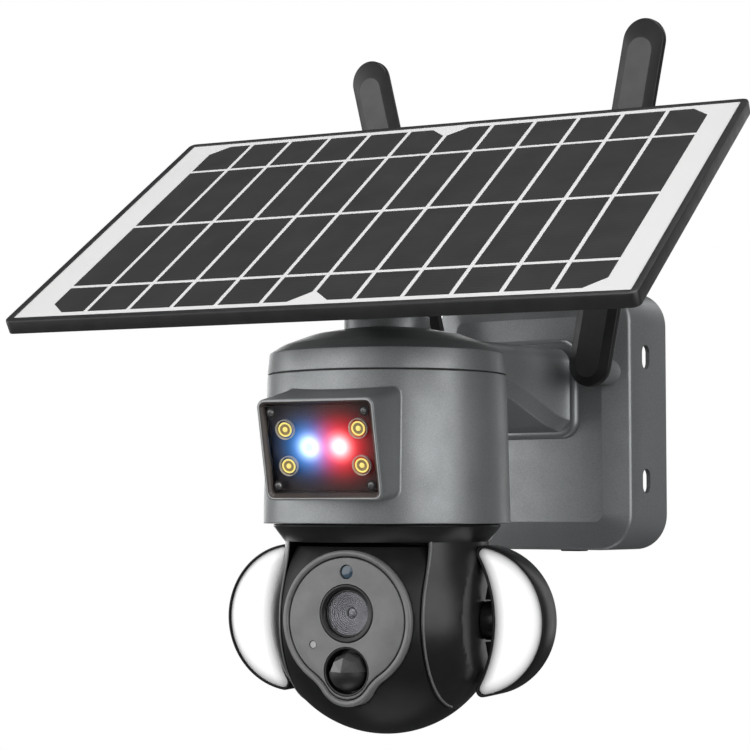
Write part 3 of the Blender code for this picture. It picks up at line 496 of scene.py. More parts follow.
SMOKE = clear("tinted_pane", (0.9, 0.87, 0.86), 1.12)
LENS = clear("lens_glass", (0.92, 0.92, 0.95), 1.2)
LED_CUP = plastic("led_outline", (0.72, 0.71, 0.69), 0.35, height=0.002)
LED_WELL = plastic("led_cup", (0.42, 0.36, 0.2), 0.3, height=0.002)
PHOSPHOR = glowing("led_phosphor", (1.0, 0.84, 0.26), 0.72, (0.8, 0.7, 0.2))
FELT = plastic("microphone_felt", (0.45, 0.45, 0.45), 0.75, 0.25, 0.03)
BAFFLE = plastic("lens_baffle_grey", (0.19, 0.188, 0.195), 0.22, 0.4, 0.001)
COATING = plastic("inner_lens_coating", (0.16, 0.155, 0.175), 0.08, 0.8, 0.0005, coat=0.5)
FACET = plastic("pir_facet_plastic", (0.07, 0.07, 0.072), 0.24, 0.5, 0.002, coat=0.3)


# Camera, lights and stage

VIEW_YAW, VIEW_PITCH = 35.0, 3.59  # the way the camera stands, from straight in front; its tilt up
CAMERA_PLACE = (0.5998, -1.045, -0.0485)  # metres, like the lights' places and sizes
FOCAL_LENGTH, SENSOR_WIDTH = 103.4, 36.0
TARGET = Vector((0.0, -0.16, 0.0))  # what the lights are aimed at


def build_camera():
    data = bpy.data.cameras.new("camera")
    data.lens = FOCAL_LENGTH
    data.sensor_width = SENSOR_WIDTH
    data.clip_start = 0.05
    camera = added("camera", data)
    camera.location = CAMERA_PLACE
    camera.rotation_euler = (radians(90 + VIEW_PITCH), 0.0, radians(VIEW_YAW))
    bpy.context.scene.camera = camera


def softbox(name, azimuth, elevation, distance, size, power):
    """Azimuth is counted from the camera, to its right."""
    data = bpy.data.lights.new(name, "AREA")
    data.shape = "RECTANGLE"
    data.size, data.size_y = size
    data.energy = power
    light = added(name, data)
    angle, rise = radians(VIEW_YAW + azimuth), radians(elevation)
    way = Vector((sin(angle) * cos(rise), -cos(angle) * cos(rise), sin(rise)))
    light.location = TARGET + way * distance
    light.rotation_euler = (TARGET - light.location).to_track_quat("-Z", "Y").to_euler()


def build_lights():
    softbox("key", 43, 9, 1.7, (1.5, 1.5), 20)
    softbox("left", -78, 10, 1.5, (2.9, 1.4), 30)
    softbox("rim", 140, 10, 1.5, (0.45, 1.4), 2.5)
    softbox("top", 10, 72, 1.6, (1.2, 1.2), 19)
    softbox("back", 190, 6, 2.4, (1.8, 1.2), 18)
    softbox("front_fill", -22, 8, 2.6, (1.2, 0.9), 5)


def build_world():
    """A dim room for the light, and white paper behind the object for the camera."""
    world = bpy.data.worlds.new("studio")
    bpy.context.scene.world = world
    world.use_nodes = True
    tree = world.node_tree
    room, paper = tree.nodes["Background"], tree.nodes.new("ShaderNodeBackground")
    for node, colour, strength in ((room, (0.95, 0.97, 1.0, 1.0), 0.07), (paper, WHITE, 1.0)):
        node.inputs["Color"].default_value = colour
        node.inputs["Strength"].default_value = strength
    ray = tree.nodes.new("ShaderNodeLightPath")
    mix = tree.nodes.new("ShaderNodeMixShader")
    tree.links.new(ray.outputs["Is Camera Ray"], mix.inputs["Fac"])
    tree.links.new(room.outputs["Background"], mix.inputs[1])
    tree.links.new(paper.outputs["Background"], mix.inputs[2])
    tree.links.new(mix.outputs["Shader"], tree.nodes["World Output"].inputs["Surface"])
    bpy.context.scene.view_settings.view_transform = "Standard"


FLOOR_HALF, FLOOR_TOP, FLOOR_THICK = 1000, -2600, 10


def build_floor():
    paint = Finish("pale_floor", (0.93, 0.93, 0.93), 0.7)
    paint.tint(paint.noise(400.0, 2.0), 0.99, 1.01)
    paint.set("Emission Color", WHITE)
    paint.set("Emission Strength", 0.62)
    floor = slab("floor", rounded_rect(FLOOR_HALF, FLOOR_HALF, 50), FLOOR_TOP - FLOOR_THICK, FLOOR_TOP, BOX,
                 paint.material)


# Wall box

BOX_HALF_W, BOX_HALF_H, BOX_DEPTH, BOX_BAND = 60.5, 69.7, 44.7, 40.3
BOX_CORNER, BOX_CHAMFER, BOX_WALL = 19, 15, 2.4
CORNER_SHRINK, CORNER_SHRINK_END = 0.95, 17  # how the corners' radius falls with the distance inwards
STRAP_SLOT_H, STRAP_SLOT_D, STRAP_SLOT_Y, STRAP_SLOT_Z = 13, 8.3, -22.9, 33
CABLE_HOLE = (-12, -50, 6), (12, -30, 28)
PLUG_HOLE = (8, -24.8, -80), (21, -15.2, -60)
ANTENNA_X, ANTENNA_Z, SOCKET_Y = 48.5, 24.4, -39.7
COLLAR_HALF_W, COLLAR_HALF_H, COLLAR_CORNER, COLLAR_OUT, COLLAR_Z = 31.6, 26.75, 10, 3, 16.25


def box_ring(inwards, depth):
    corner = BOX_CORNER - min(inwards, CORNER_SHRINK_END) * CORNER_SHRINK
    outline = rounded_rect(BOX_HALF_W - inwards, BOX_HALF_H - inwards, corner, 12)
    return [(x, -depth, z) for x, z in outline]


def build_box():
    # Distance in from the side against depth: straight band, chamfer, front panel
    outside = fillet([(0, 0), (0, BOX_BAND), (BOX_CHAMFER, BOX_DEPTH), (30, BOX_DEPTH)],
                     [0, 2.6, 1.4, 0], 6)
    inside = [(BOX_WALL, 0), (BOX_WALL, BOX_BAND - BOX_WALL), (BOX_CHAMFER + 1.5, BOX_DEPTH - BOX_WALL)]
    shell = skin("box_shell", [box_ring(*place) for place in outside[::-1] + inside], BOX, GREY)
    slot = rounded_rect(STRAP_SLOT_H / 2, STRAP_SLOT_D / 2, STRAP_SLOT_D / 2 - 0.05, 10)
    for z in (STRAP_SLOT_Z, -STRAP_SLOT_Z):
        combine(shell, slab("slot_cutter", slot, -80, 80, shift(0, STRAP_SLOT_Y, z) @ SIDE_ON, None))
    combine(shell, block("cable_cutter", *CABLE_HOLE, BOX, None))
    combine(shell, block("plug_cutter", *PLUG_HOLE, BOX, None))
    mount(shell, "base", "housing_grey", "rear_housing")
    socket = fillet([(0, 19.1), (5.6, 19.1), (5.6, 14.6), (7, 14.6), (7, -4), (0, -4)],
                    [0, 0.6, 0.3, 0.8, 0, 0], 5)
    for side, sign in SIDES:
        boss = lathe("antenna_socket_" + side, socket, shift(sign * ANTENNA_X, SOCKET_Y, ANTENNA_Z) @ FACING,
                     GREY, 48)
        mount(boss, "base", "housing_grey")


def build_collar():
    collar = slab("arm_collar_plate", rounded_rect(COLLAR_HALF_W, COLLAR_HALF_H, COLLAR_CORNER, 12), -0.3,
                  COLLAR_OUT, shift(0, -BOX_DEPTH, COLLAR_Z) @ FACING, GREY, COLLAR_OUT - 0.1, 0, 8)
    mount(collar, "base", "housing_grey", "arm_collar")


# Arm and cap

ARM_TOP, ARM_CHAMFER, ARM_EDGE_R = 38, 6, 1.8
CAP_DIP, CAP_DIP_REACH = 1.2, 45  # under the cap the arm's top is lower, so that it stays hidden
ARM_SECTIONS = (  # distance behind the head, half width, underside, corner radius
    (131, 28.2, -7.2, 9), (127.5, 26.6, -5.9, 8.8), (122, 25.2, -4.2, 8.6), (112, 23.8, 0, 8.5),
    (96, 22.4, 6.8, 8.2), (80, 21.2, 12.2, 7.8), (68, 20.3, 15.5, 7.2), (58, 20, 17.2, 6.8),
    (30, 20, 17.4, 6.8))


def build_arm():
    rings = []
    for reach, half_w, low, corner in smooth_path(ARM_SECTIONS, 5):
        top = ARM_TOP - (CAP_DIP if reach < CAP_DIP_REACH else 0)
        half_h = (top - low) / 2
        outline = fillet([(half_w, half_h), (-half_w, half_h), (-half_w, ARM_CHAMFER - half_h),
                          (ARM_CHAMFER - half_w, -half_h), (half_w - ARM_CHAMFER, -half_h),
                          (half_w, ARM_CHAMFER - half_h)], [corner] * 2 + [ARM_EDGE_R] * 4, 8)
        rings.append([(x, reach - HEAD_REACH, z + (top + low) / 2) for x, z in outline])
    arm = skin("arm", rings, BOX, GREY, sharp=60)
    mount(arm, "base", "housing_grey", "arm_cap")


def build_cap():
    """The domed cap on the head, and the seal ring under it."""
    outer = [(0, 39.6), (21.5, 39.6), (36, 37.1), (50.7, 31.7), (57.5, 27.4), (58.45, 17.4), (56.4, 17.4)]
    profile = fillet(outer, [0, 2, 26, 14, 0.7, 0.35, 0], 6)
    cap = lathe("head_cap", profile + [(56, 20), (0, 22)], HEAD, GREY, 160)
    mount(cap, "base", "housing_grey")
    seal = [(55, 20), (57.6, 20), (57.6, 14), (55, 14)]
    mount(lathe("cap_joint", seal, HEAD, RUBBER, 128, True), "base", "rubber", "cap_seal")


def build_neck():
    profile = fillet([(8, 46), (21, 46), (21, 39.7), (8, 39.7)], [0, 0.8, 0, 0], 5)
    mount(lathe("neck_ring", profile, HEAD, GREY, 96, True), "base", "housing_grey", "neck_collar")


# Head and lamp nose

HEAD_R_TOP, HEAD_R_FOOT, SEAM_Z, FOOT_Z = 58.5, 60.3, 17.1, -54.9


def head_radius(z):
    return HEAD_R_TOP + (HEAD_R_FOOT - HEAD_R_TOP) * (SEAM_Z - z) / (SEAM_Z - FOOT_Z)


def build_head():
    profile = fillet([(56, 16.8), (HEAD_R_TOP, 16.8), (HEAD_R_FOOT, FOOT_Z), (10, FOOT_Z), (10, -52.3),
                      (56.8, -52.3)], [0, 0.4, 0.6, 0, 0, 0], 4)
    mount(lathe("head_shell", profile, HEAD, GREY, 160, True), "base", "housing_grey", "upper_housing")


NOSE_HALF_W, NOSE_BASE_HALF_H = 29.45, 26.2
NOSE_HALF_H = dist(WINDOW_TOP, WINDOW_LOW) / 2
NOSE_BASE_LOW, NOSE_TOP_SLOPE = -43.4, 0.21
NOSE_CORNER, NOSE_BASE_CORNER, NOSE_EDGE_R = 4, 4.5, 0.7
PANE_IN, PANE_LOW, PANE_TOP = 3.1, -4.1, -2.4  # the pane's edge, in from the nose's, and its faces


def nose_front(out, depth, corner):
    """Ring on the window's plane, grown outwards, at a depth behind it, in the head's frame."""
    to_head = HEAD.inverted() @ WINDOW
    outline = rounded_rect(NOSE_HALF_W + out, NOSE_HALF_H + out, corner, 8, 12)
    return [to_head @ Vector((x, y, -depth)) for x, y in outline]


def nose_base(out, rise):
    """Ring on the head's cylinder, grown outwards and lifted off it. Its top edge lies in the sloping top."""
    ring = []
    for x, y in rounded_rect(NOSE_HALF_W + out, NOSE_BASE_HALF_H + out, NOSE_BASE_CORNER, 8, 12):
        reach = sqrt(HEAD_R_TOP ** 2 - x * x)
        top = WINDOW_TOP[1] + NOSE_TOP_SLOPE * (WINDOW_TOP[0] - reach)
        z = NOSE_BASE_LOW + (top - NOSE_BASE_LOW) * (y / NOSE_BASE_HALF_H + 1) / 2
        ring.append(Vector((x, -sqrt(head_radius(z) ** 2 - x * x) - rise, z)))
    return ring


def build_nose():
    base = [nose_base(1, -1.5)]
    for angle in (pi / 8 * k for k in range(5)):
        base.append(nose_base(NOSE_EDGE_R * (1 - sin(angle)) - 0.2, NOSE_EDGE_R * (1 - cos(angle))))
    front = nose_front(0, NOSE_EDGE_R, NOSE_CORNER)
    sides = [[a.lerp(b, t) for a, b in zip(base[-1], front)] for t in (0.25, 0.5, 0.75)]
    rim = []
    for angle in map(radians, (0, 30, 60, 90)):
        inwards = NOSE_EDGE_R * (1 - cos(angle))
        rim.append(nose_front(-inwards, NOSE_EDGE_R * (1 - sin(angle)), NOSE_CORNER - inwards))
    mouth = [nose_front(-1.1, 0, 2.9), nose_front(-1.2, 8, 2.8)]
    mount(skin("lamp_nose", base + sides + rim + mouth, HEAD, GREY, sharp=50), "base", "housing_grey")
    outer = rounded_rect(NOSE_HALF_W - NOSE_EDGE_R, NOSE_HALF_H - NOSE_EDGE_R, NOSE_CORNER - NOSE_EDGE_R, 8)
    lip = [(0, -1.2), (0, -0.05), (0.2, 0.15), (0.4, 0.15), (0.6, -0.05), (0.6, -1.2)]
    # The rim's light grey is a painted highlight.
    mount(band("window_rim", outer, lip, WINDOW, RIM_HIGHLIGHT), "base", "housing_grey")
    edge = [(1.3, 0), (1.5, -0.1), (PANE_IN, PANE_TOP), (PANE_IN, PANE_LOW), (1.2, PANE_LOW), (1.2, 0)]
    surround = band("window_surround", rounded_rect(NOSE_HALF_W, NOSE_HALF_H, NOSE_CORNER, 8), edge, WINDOW,
                    WINDOW_EDGE)
    mount(surround, "base", "tinted_window")


LED_SPOTS = [(sx * 18.5, sy * 8.6) for sy in (1, -1) for sx in (-1, 1)]
SCREW_SPOTS = [(sx * 23.5, sy * 17.3) for sy in (1, -1) for sx in (-1, 1)]
COLOUR_LED_X = 7.7
CUP_R, CUP_WALL, RING_R, RING_WIRE_R, CORE_R, COLOUR_LED_R = 4.3, 0.4, 3, 0.42, 1.25, 2
LED_TOP, BACKPLATE_TOP = PANE_LOW - 0.3, PANE_LOW - 2.2
PAINTED_LED_GLOWS = (  # place across, colour, radius, strength of each painted glow: halos of painted light, then painted hot centres
    (-COLOUR_LED_X, (0.005, 0.3, 0.98), 9, 1.5), (COLOUR_LED_X, (0.98, 0.005, 0.02), 10, 1.7),
    (-COLOUR_LED_X, (0.7, 0.85, 1), 4.3, 2.6), (COLOUR_LED_X, (1, 0.7, 0.73), 4.3, 2.6))


def build_lamp():
    outline = rounded_rect(NOSE_HALF_W - PANE_IN, NOSE_HALF_H - PANE_IN, 1.2, 6)
    pane = slab("lamp_pane", outline, PANE_LOW, PANE_TOP, WINDOW, SMOKE, 0.3, 0, 3)
    mount(pane, "base", "tinted_window", "lamp_window")
    # The board's emission is painted light: the coloured LEDs' glow, painted on a board that is no lamp.
    board = slab("lamp_backplate", outline, BACKPLATE_TOP - 1, BACKPLATE_TOP, WINDOW,
                 painted_led_glow(PAINTED_LED_GLOWS, BACKPLATE_TOP))
    mount(board, "base", "circuit_board", "lamp_board")
    for number, (x, y) in enumerate(LED_SPOTS, 1):
        build_white_led(number, WINDOW @ shift(x, y, LED_TOP))
    for name, side, colour in (("blue", -1, (0.55, 0.8, 1)), ("red", 1, (1, 0.66, 0.7))):
        lens = lathe(name + "_led_lens", dome(COLOUR_LED_R, -1.9, 1.7, 10) + [(0, -2)],
                     WINDOW @ shift(side * COLOUR_LED_X, 0, LED_TOP),
                     glowing(name + "_led_light", colour, 1.7), 40)
        mount(lens, "base", name + "_led", name + "_led")
    for number, (x, y) in enumerate(SCREW_SPOTS, 1):
        build_screw("window_screw_head_%d" % number, WINDOW @ shift(x, y, PANE_TOP + 0.05), 1.6, 1.2,
                    "window_screw_%d" % number, BLACKED)


def build_white_led(number, at):
    """A thin cup outline, its floor, a phosphor ring and a phosphor core."""
    outer_r = CUP_R + CUP_WALL
    wall = fillet([(CUP_R, 0), (outer_r, 0), (outer_r, -1.8), (CUP_R, -1.8)], [0.1, 0.15, 0, 0], 3)
    cup = lathe("led_cup_%d" % number, wall, at, LED_CUP, 40, True)
    mount(cup, "base", "white_led", "white_led_%d" % number)
    floor = [(0, -0.8), (3.1, -0.8), (3.1, -1.6), (0, -1.6)]
    ring = arc((RING_R, -0.7), RING_WIRE_R, 0, 330, 11)
    core = dome(CORE_R, -0.8, 0.7, 15) + [(0, -0.9)]
    mount(lathe("led_floor_%d" % number, floor, at, LED_WELL, 40), "base", "white_led")
    mount(lathe("led_ring_%d" % number, ring, at, PHOSPHOR, 40, True), "base", "white_led")
    mount(lathe("led_core_%d" % number, core, at, PHOSPHOR, 24), "base", "white_led")


def build_screw(name, at, radius, height, node, finish):
    """Pan head with a cross recess, and a black washer ring under it that also stands as painted shade of the
    well the screw sits in.
    """
    profile = fillet([(0, height), (radius * 0.72, height), (radius, height * 0.42), (radius, 0), (0, 0)],
                     [0, radius * 0.35, radius * 0.12, 0, 0], 4)
    head = lathe(name, profile, at, finish, 32)
    for angle in (20, 110):
        combine(head, block("cross_cutter", (-radius * 0.62, -radius * 0.11, height * 0.45),
                            (radius * 0.62, radius * 0.11, height + 1), at @ turn(angle, "Z"), None))
    mount(head, "base", "steel", node)
    # The black seat ring is partly painted shade: the dark well round the screw's head.
    seat = [(radius * 1.02, 0.25), (radius * 1.45, 0.2), (radius * 1.5, 0), (radius * 1.02, 0)]
    mount(lathe(name + "_seat", seat, at, RUBBER, 32, True), "base", "rubber")


# Turntable, yoke and ball

BALL_R, BALL_HALF_W, BALL_TOP, DRUM_R = 56.4, 35.6, 34.4, 36
SPHERE_START, DRUM_END = 15, -130  # degrees over level: top of the arms' sphere, foot of the drum
YOKE_INNER_X, YOKE_FLAT_X = 36.2, 50
PLATE_TOP = FOOT_Z - 0.3
PLATE_LOW = PLATE_TOP - 2.5
RING_TOP_R, RING_LOW_R, RING_LOW_Z, RING_HOLLOW_R = 56.3, 49.6, -63.7, 46.6
SKIRT_INNER_R, SKIRT_OUTER_R, SKIRT_LOW_Z = 46.8, 49.4, -71.5
BEAD_R, BEAD_X, BEAD_SUNK = 0.55, 36.95, 0.15


def yoke_profile():
    """Outside of the arms: the turntable's cylinder, run into a sphere round the ball by a smooth curve."""
    sphere = [(r, BALL_Z + z) for r, z in arc((0, 0), BALL_R, SPHERE_START, -90, 40)]
    sphere[-1] = (0, BALL_Z - BALL_R)
    upright_r, start = RING_LOW_R - 0.02, radians(SPHERE_START)
    knots = [Vector((upright_r, BALL_Z + 37)), Vector((upright_r, BALL_Z + 29)),
             Vector(sphere[0]) - Vector((sin(start), -cos(start))) * 8, Vector(sphere[0])]
    curve = [tuple(knots[0] * (1 - t) ** 3 + knots[1] * 3 * t * (1 - t) ** 2 + knots[2] * 3 * t * t * (1 - t)
                   + knots[3] * t ** 3) for t in (k / 16 for k in range(16))]
    return [(upright_r, PLATE_LOW + 1)] + curve + sphere


def build_yoke():
    ring = fillet([(4, PLATE_TOP), (RING_TOP_R, PLATE_TOP), (RING_LOW_R, RING_LOW_Z),
                   (RING_HOLLOW_R, RING_LOW_Z), (RING_HOLLOW_R, PLATE_LOW), (4, PLATE_LOW)],
                  [0, 0.8, 0.8, 0.4, 0, 0], 4)
    turntable = lathe("turntable_yoke", ring, HEAD, BLACK, 144, True)
    profile = yoke_profile()
    arms = lathe("yoke_outside", [(0, PLATE_LOW + 1)] + profile, HEAD, BLACK, 144)
    combine(arms, block("yoke_middle", (-YOKE_INNER_X, -90, -200), (YOKE_INNER_X, 90, PLATE_LOW + 9), HEAD,
                        None))
    for _, sign in SIDES:
        low, high = sorted((sign * YOKE_FLAT_X, sign * 90))
        combine(arms, slab("yoke_flat", rounded_rect(60, 31, 18, 10), low, high,
                           HEAD @ shift(0, 0, BALL_Z + 1) @ SIDE_ON @ turn(90, "Z"), None))
    soften(arms, 0.9, 3, 32)
    mount(arms, "turntable", "gloss_black")
    for side, sign in SIDES:
        build_yoke_highlight_bead("yoke_highlight_bead_" + side, sign, profile)
    wall = [(SKIRT_INNER_R, PLATE_LOW + 1), (SKIRT_OUTER_R, PLATE_LOW + 1), (SKIRT_OUTER_R, SKIRT_LOW_Z),
            (SKIRT_INNER_R, SKIRT_LOW_Z)]
    skirt = lathe("yoke_skirt", wall, HEAD, BLACK, 144, True)
    combine(skirt, block("skirt_front", (-90, -90, -200), (90, 0, 0), HEAD, None))
    mount(skirt, "turntable", "gloss_black")
    mount(turntable, "turntable", "gloss_black", "yoke")


def build_yoke_highlight_bead(name, sign, profile):
    """A thin bead down the front inner edge of an arm, from the turntable to the bottom; its grey is a
    painted highlight on the black edge.
    """
    path = [(-sqrt(r * r - BEAD_X * BEAD_X), z) for r, z in profile if r > BEAD_X]
    rings = []
    for i, (y, z) in enumerate(path):
        along = (Vector(path[min(i + 1, len(path) - 1)]) - Vector(path[max(i - 1, 0)])).normalized()
        ring = []
        for angle in (2 * pi * k / 10 for k in range(10)):
            lift = BEAD_R * cos(angle) - BEAD_SUNK
            ring.append((sign * (BEAD_X + BEAD_R * sin(angle)), y + along.y * lift, z - along.x * lift))
        rings.append(ring)
    # Grey on the black arm: a painted highlight along its inner edge.
    mount(skin(name, rings, HEAD, BEZEL, sharp=60), "turntable", "gloss_black")


def build_ball():
    """A sphere with flat sides, cut to a flat top and to a drum at the back, with a pocket for the face."""
    edge = degrees(asin(BALL_HALF_W / BALL_R))
    profile = [(0, BALL_HALF_W)] + arc((0, 0), BALL_R, edge, -edge, 48) + [(0, -BALL_HALF_W)]
    profile = fillet(profile, [0, 1.2] + [0] * 47 + [1.2, 0], 4)
    ball = lathe("ball_casing", profile, BALL @ SIDE_ON, BALL_BLACK, 160)
    back_top = 180 - degrees(asin(BALL_TOP / DRUM_R))
    below = arc((0, 0), 100, DRUM_END, DRUM_END, 1)[:1]
    region = [(100, BALL_TOP), (100, -100)] + below + arc((0, 0), DRUM_R, DRUM_END, back_top - 360, 40)
    # Drawn with x forward and y up, then stood across the ball
    stand = BALL @ turn(90, "X") @ turn(-90, "Y")
    combine(ball, slab("ball_region", region, -60, 60, stand, None), "INTERSECT")
    combine(ball, slab("face_pocket", teardrop(-0.35), FACE_SEAT - 0.3, 80, BALL @ FACING, None))
    soften(ball, 0.5, 2, 40)
    mount(ball, "camera_ball", "gloss_black", "ball_shell")


FACE_R, LOBE_R, LOBE_Z, BEZEL_W, FACE_FRONT, FACE_SEAT = 33, 15, -25, 2.9, 48, 38.3
LENS_SPOT, PIR_SPOT, SENSOR_SPOT = (0, 3.4, 0), (0, -23.6, 0), (0, 22.8, 0)
MICROPHONE_SPOT = (-17.1, -11.4, 0)
FACE_HOLES = ((LENS_SPOT, 13.8), (PIR_SPOT, 11.6), (SENSOR_SPOT, 3.4), (MICROPHONE_SPOT, 2))


def teardrop(inwards=0):
    """A circle with a smaller lobe under it, blended by hollow arcs on both sides."""
    hollow = 24 + inwards
    big, small = FACE_R - inwards, LOBE_R - inwards
    # Each hollow arc's centre is big + hollow from one centre and small + hollow from the other
    far_a, far_b, span = big + hollow, small + hollow, -LOBE_Z
    along = (far_a ** 2 - far_b ** 2 + span ** 2) / (2 * span)
    across = sqrt(far_a ** 2 - along ** 2)
    to_big = degrees(atan2(-along, across))
    to_small = degrees(atan2(span - along, across))
    return (arc((0, 0), big, to_big, 180 - to_big, 72)
            + arc((-across, -along), hollow, -to_big, -to_small, 10)[1:-1]
            + arc((0, LOBE_Z), small, 180 - to_small, 360 + to_small, 28)
            + arc((across, -along), hollow, 180 + to_small, 180 + to_big, 10)[1:-1])


def build_face():
    front = BALL @ FACING
    section = [(0, FACE_SEAT), (0, FACE_FRONT - 1), (0.3, FACE_FRONT - 0.3), (1, FACE_FRONT),
               (BEZEL_W - 0.5, FACE_FRONT), (BEZEL_W, FACE_FRONT - 0.5), (BEZEL_W, FACE_SEAT)]
    rings = [[(x, y, z) for x, y in teardrop(across)] for across, z in section]
    bezel = skin("face_bezel_ring", rings, front, BEZEL, closed=True, sharp=50)
    mount(bezel, "camera_ball", "face_grey", "face_bezel")
    plate = slab("face_panel", teardrop(BEZEL_W + 0.7), FACE_SEAT, FACE_FRONT - 0.5, front, FACE, 0.4, 0, 3)
    for spot, radius in FACE_HOLES:
        hole = [(0, 60), (radius, 60), (radius, 36), (0, 36)]
        combine(plate, lathe("face_hole", hole, front @ shift(*spot), None, 72))
    mount(plate, "camera_ball", "face_grey", "face_plate")
    backing = slab("face_backing", teardrop(0.4), FACE_SEAT - 0.2, FACE_SEAT + 0.8, front, DARK)
    mount(backing, "camera_ball", "matte_black")
    build_lens(front @ shift(*LENS_SPOT))
    build_pir(front @ shift(*PIR_SPOT))
    eye = [(0, 47), (1.8, 46.9), (3, 46.6), (3.15, 46), (3.15, 40), (0, 40)]
    sensor = lathe("light_sensor_window", eye, front @ shift(*SENSOR_SPOT), SENSOR, 40)
    mount(sensor, "camera_ball", "lens_glass", "light_sensor")
    pad = [(0, 47.3), (1.5, 47.3), (1.85, 46.9), (1.85, 40), (0, 40)]
    felt = lathe("microphone_mesh", pad, front @ shift(*MICROPHONE_SPOT), FELT, 32)
    mount(felt, "camera_ball", "face_grey")


BAFFLE_R, BAFFLE_END_R, BAFFLE_IN, BAFFLE_DOWN = 10.3, 3.2, 0.85, 0.42
GLASS_R, GLASS_EDGE, GLASS_SAG, GLASS_THICK = 10.1, 45.4, 1.3, 0.7


def build_lens(at):
    """Barrel with a retaining ring, a stack of stepped baffles and a domed front glass."""
    barrel = fillet([(10.9, 44.5), (11.3, 47.2), (12.6, 47.6), (13.5, 47.6), (13.5, 38.5), (10.9, 38.5)],
                    [0, 0.3, 0.3, 0.4, 0, 0], 4)
    mount(lathe("lens_ring", barrel, at, BLACK, 96, True), "camera_ball", "matte_black", "lens_barrel")
    retainer = fillet([(10.2, 45.6), (11, 45.6), (11, 42), (10.2, 42)], [0.2, 0.2, 0, 0], 3)
    mount(lathe("lens_retainer", retainer, at, DARK, 96, True), "camera_ball", "matte_black")
    well = []
    radius, height = BAFFLE_R, 44.6
    while radius > BAFFLE_END_R:
        well += [(radius, height), (radius - BAFFLE_IN + 0.1, height - 0.1),
                 (radius - BAFFLE_IN, height - BAFFLE_DOWN)]
        radius -= BAFFLE_IN
        height -= BAFFLE_DOWN
    well += [(radius, height - 2), (0, height - 2), (0, 36), (BAFFLE_R, 36)]
    mount(lathe("lens_baffles", well, at, BAFFLE, 96, True, 20), "camera_ball", "matte_black")
    pupil = dome(2.6, height - 1.2, 1, 10) + [(0, height - 1.5)]
    mount(lathe("lens_inner_glass", pupil, at, COATING, 48), "camera_ball", "lens_glass")
    bulge = [(k / 12, GLASS_SAG * (1 - (k / 12) ** 2)) for k in range(13)]
    crown = [(GLASS_R * share, GLASS_EDGE + rise) for share, rise in bulge]
    inner = [(GLASS_R * share, GLASS_EDGE - GLASS_THICK + 0.8 * rise) for share, rise in bulge[::-1]]
    glass = lathe("lens_front_glass", crown + inner, at, LENS, 96, sharp=60)
    mount(glass, "camera_ball", "lens_glass", "lens_glass")


PIR_R, PIR_BASE, PIR_RISE = 9.4, 44, 1.05
FACET_BREAK, FACET_WEDGES, FACET_SHRINK, FACET_DEPTH = 46, 4, 0.985, 0.07


def facet_point(tilt, angle):
    """A point on the sensor's dome, by its tilt in degrees from the front and its angle round it."""
    reach, tilt = PIR_R * 0.99, radians(tilt)
    return Vector((reach * sin(tilt) * cos(angle), reach * sin(tilt) * sin(angle),
                   PIR_BASE + reach * PIR_RISE * cos(tilt)))


def build_pir(at):
    """Motion sensor: a faceted upper half over a plain dark lower half, sunk in a well."""
    wall = fillet([(10.4, 47), (11.4, 47.2), (11.4, 39), (10.4, 39)], [0.3, 0.3, 0, 0], 3)
    mount(lathe("pir_well", wall, at, BLACK, 72, True), "camera_ball", "matte_black")
    bm = bmesh.new()
    bmesh.ops.create_uvsphere(bm, u_segments=48, v_segments=24, radius=PIR_R, matrix=turn(90, "X"))
    bmesh.ops.scale(bm, vec=(1, 1, PIR_RISE), verts=bm.verts)
    bmesh.ops.translate(bm, vec=(0, 0, PIR_BASE), verts=bm.verts)
    for place, way in (((0, 0, PIR_BASE - 2), (0, 0, -1)), ((0, 0, PIR_BASE), (0, 1, 0))):
        bmesh.ops.bisect_plane(bm, geom=bm.verts[:] + bm.edges[:] + bm.faces[:], plane_co=place, plane_no=way,
                               clear_outer=True)
    mount(placed("pir_lower_dome", bm, at, DARK, 60), "camera_ball", "matte_black", "pir_lens")
    # Flat facets: two rows of wedges over the upper half, the first a fan of triangles
    bm = bmesh.new()
    centre = Vector((0, 0, PIR_BASE))
    for low, high in ((0, FACET_BREAK), (FACET_BREAK, 90)):
        for i in range(FACET_WEDGES):
            a, b = pi * i / FACET_WEDGES, pi * (i + 1) / FACET_WEDGES
            corners = [facet_point(low, a), facet_point(low, b), facet_point(high, b), facet_point(high, a)]
            middle = sum(corners, Vector()) / 4
            corners = [middle + (corner - middle) * FACET_SHRINK for corner in corners]
            if not low:
                corners = [facet_point(0, 0)] + corners[2:]
            prism(bm, corners, [corner.lerp(centre, FACET_DEPTH) for corner in corners])
    mount(placed("pir_facets", bm, at, FACET, 5), "camera_ball", "matte_black")


# Floodlights

LIGHT_FRONT, LIGHT_Z = 7.4, -1
LIGHT_OUTER_R, LIGHT_OUTER_X, LIGHT_INNER_R, LIGHT_INNER_X, LIGHT_TIP_R = 36.2, 47.2, 64, 57.4, 3.2
LENS_EDGE, LENS_ACROSS = 1.15, 7.8
KNUCKLE_R, KNUCKLE_OUT, KNUCKLE_BACK = 9.4, 58.5, 3.4
LIGHT_RIB = (52, 10), (57, 10), (56.2, 24.5), (54.6, 24.5)
HOUSING = (  # the housing's section: distance inwards, and forwards
    (5.4, -12), (1, -12), (0.3, -11.7), (0, -11), (0, 0), (0, 6.9),
    (0.15, LIGHT_FRONT - 0.15), (0.4, LIGHT_FRONT), (0.8, LIGHT_FRONT), (1, LIGHT_FRONT - 0.2), (1, 3))


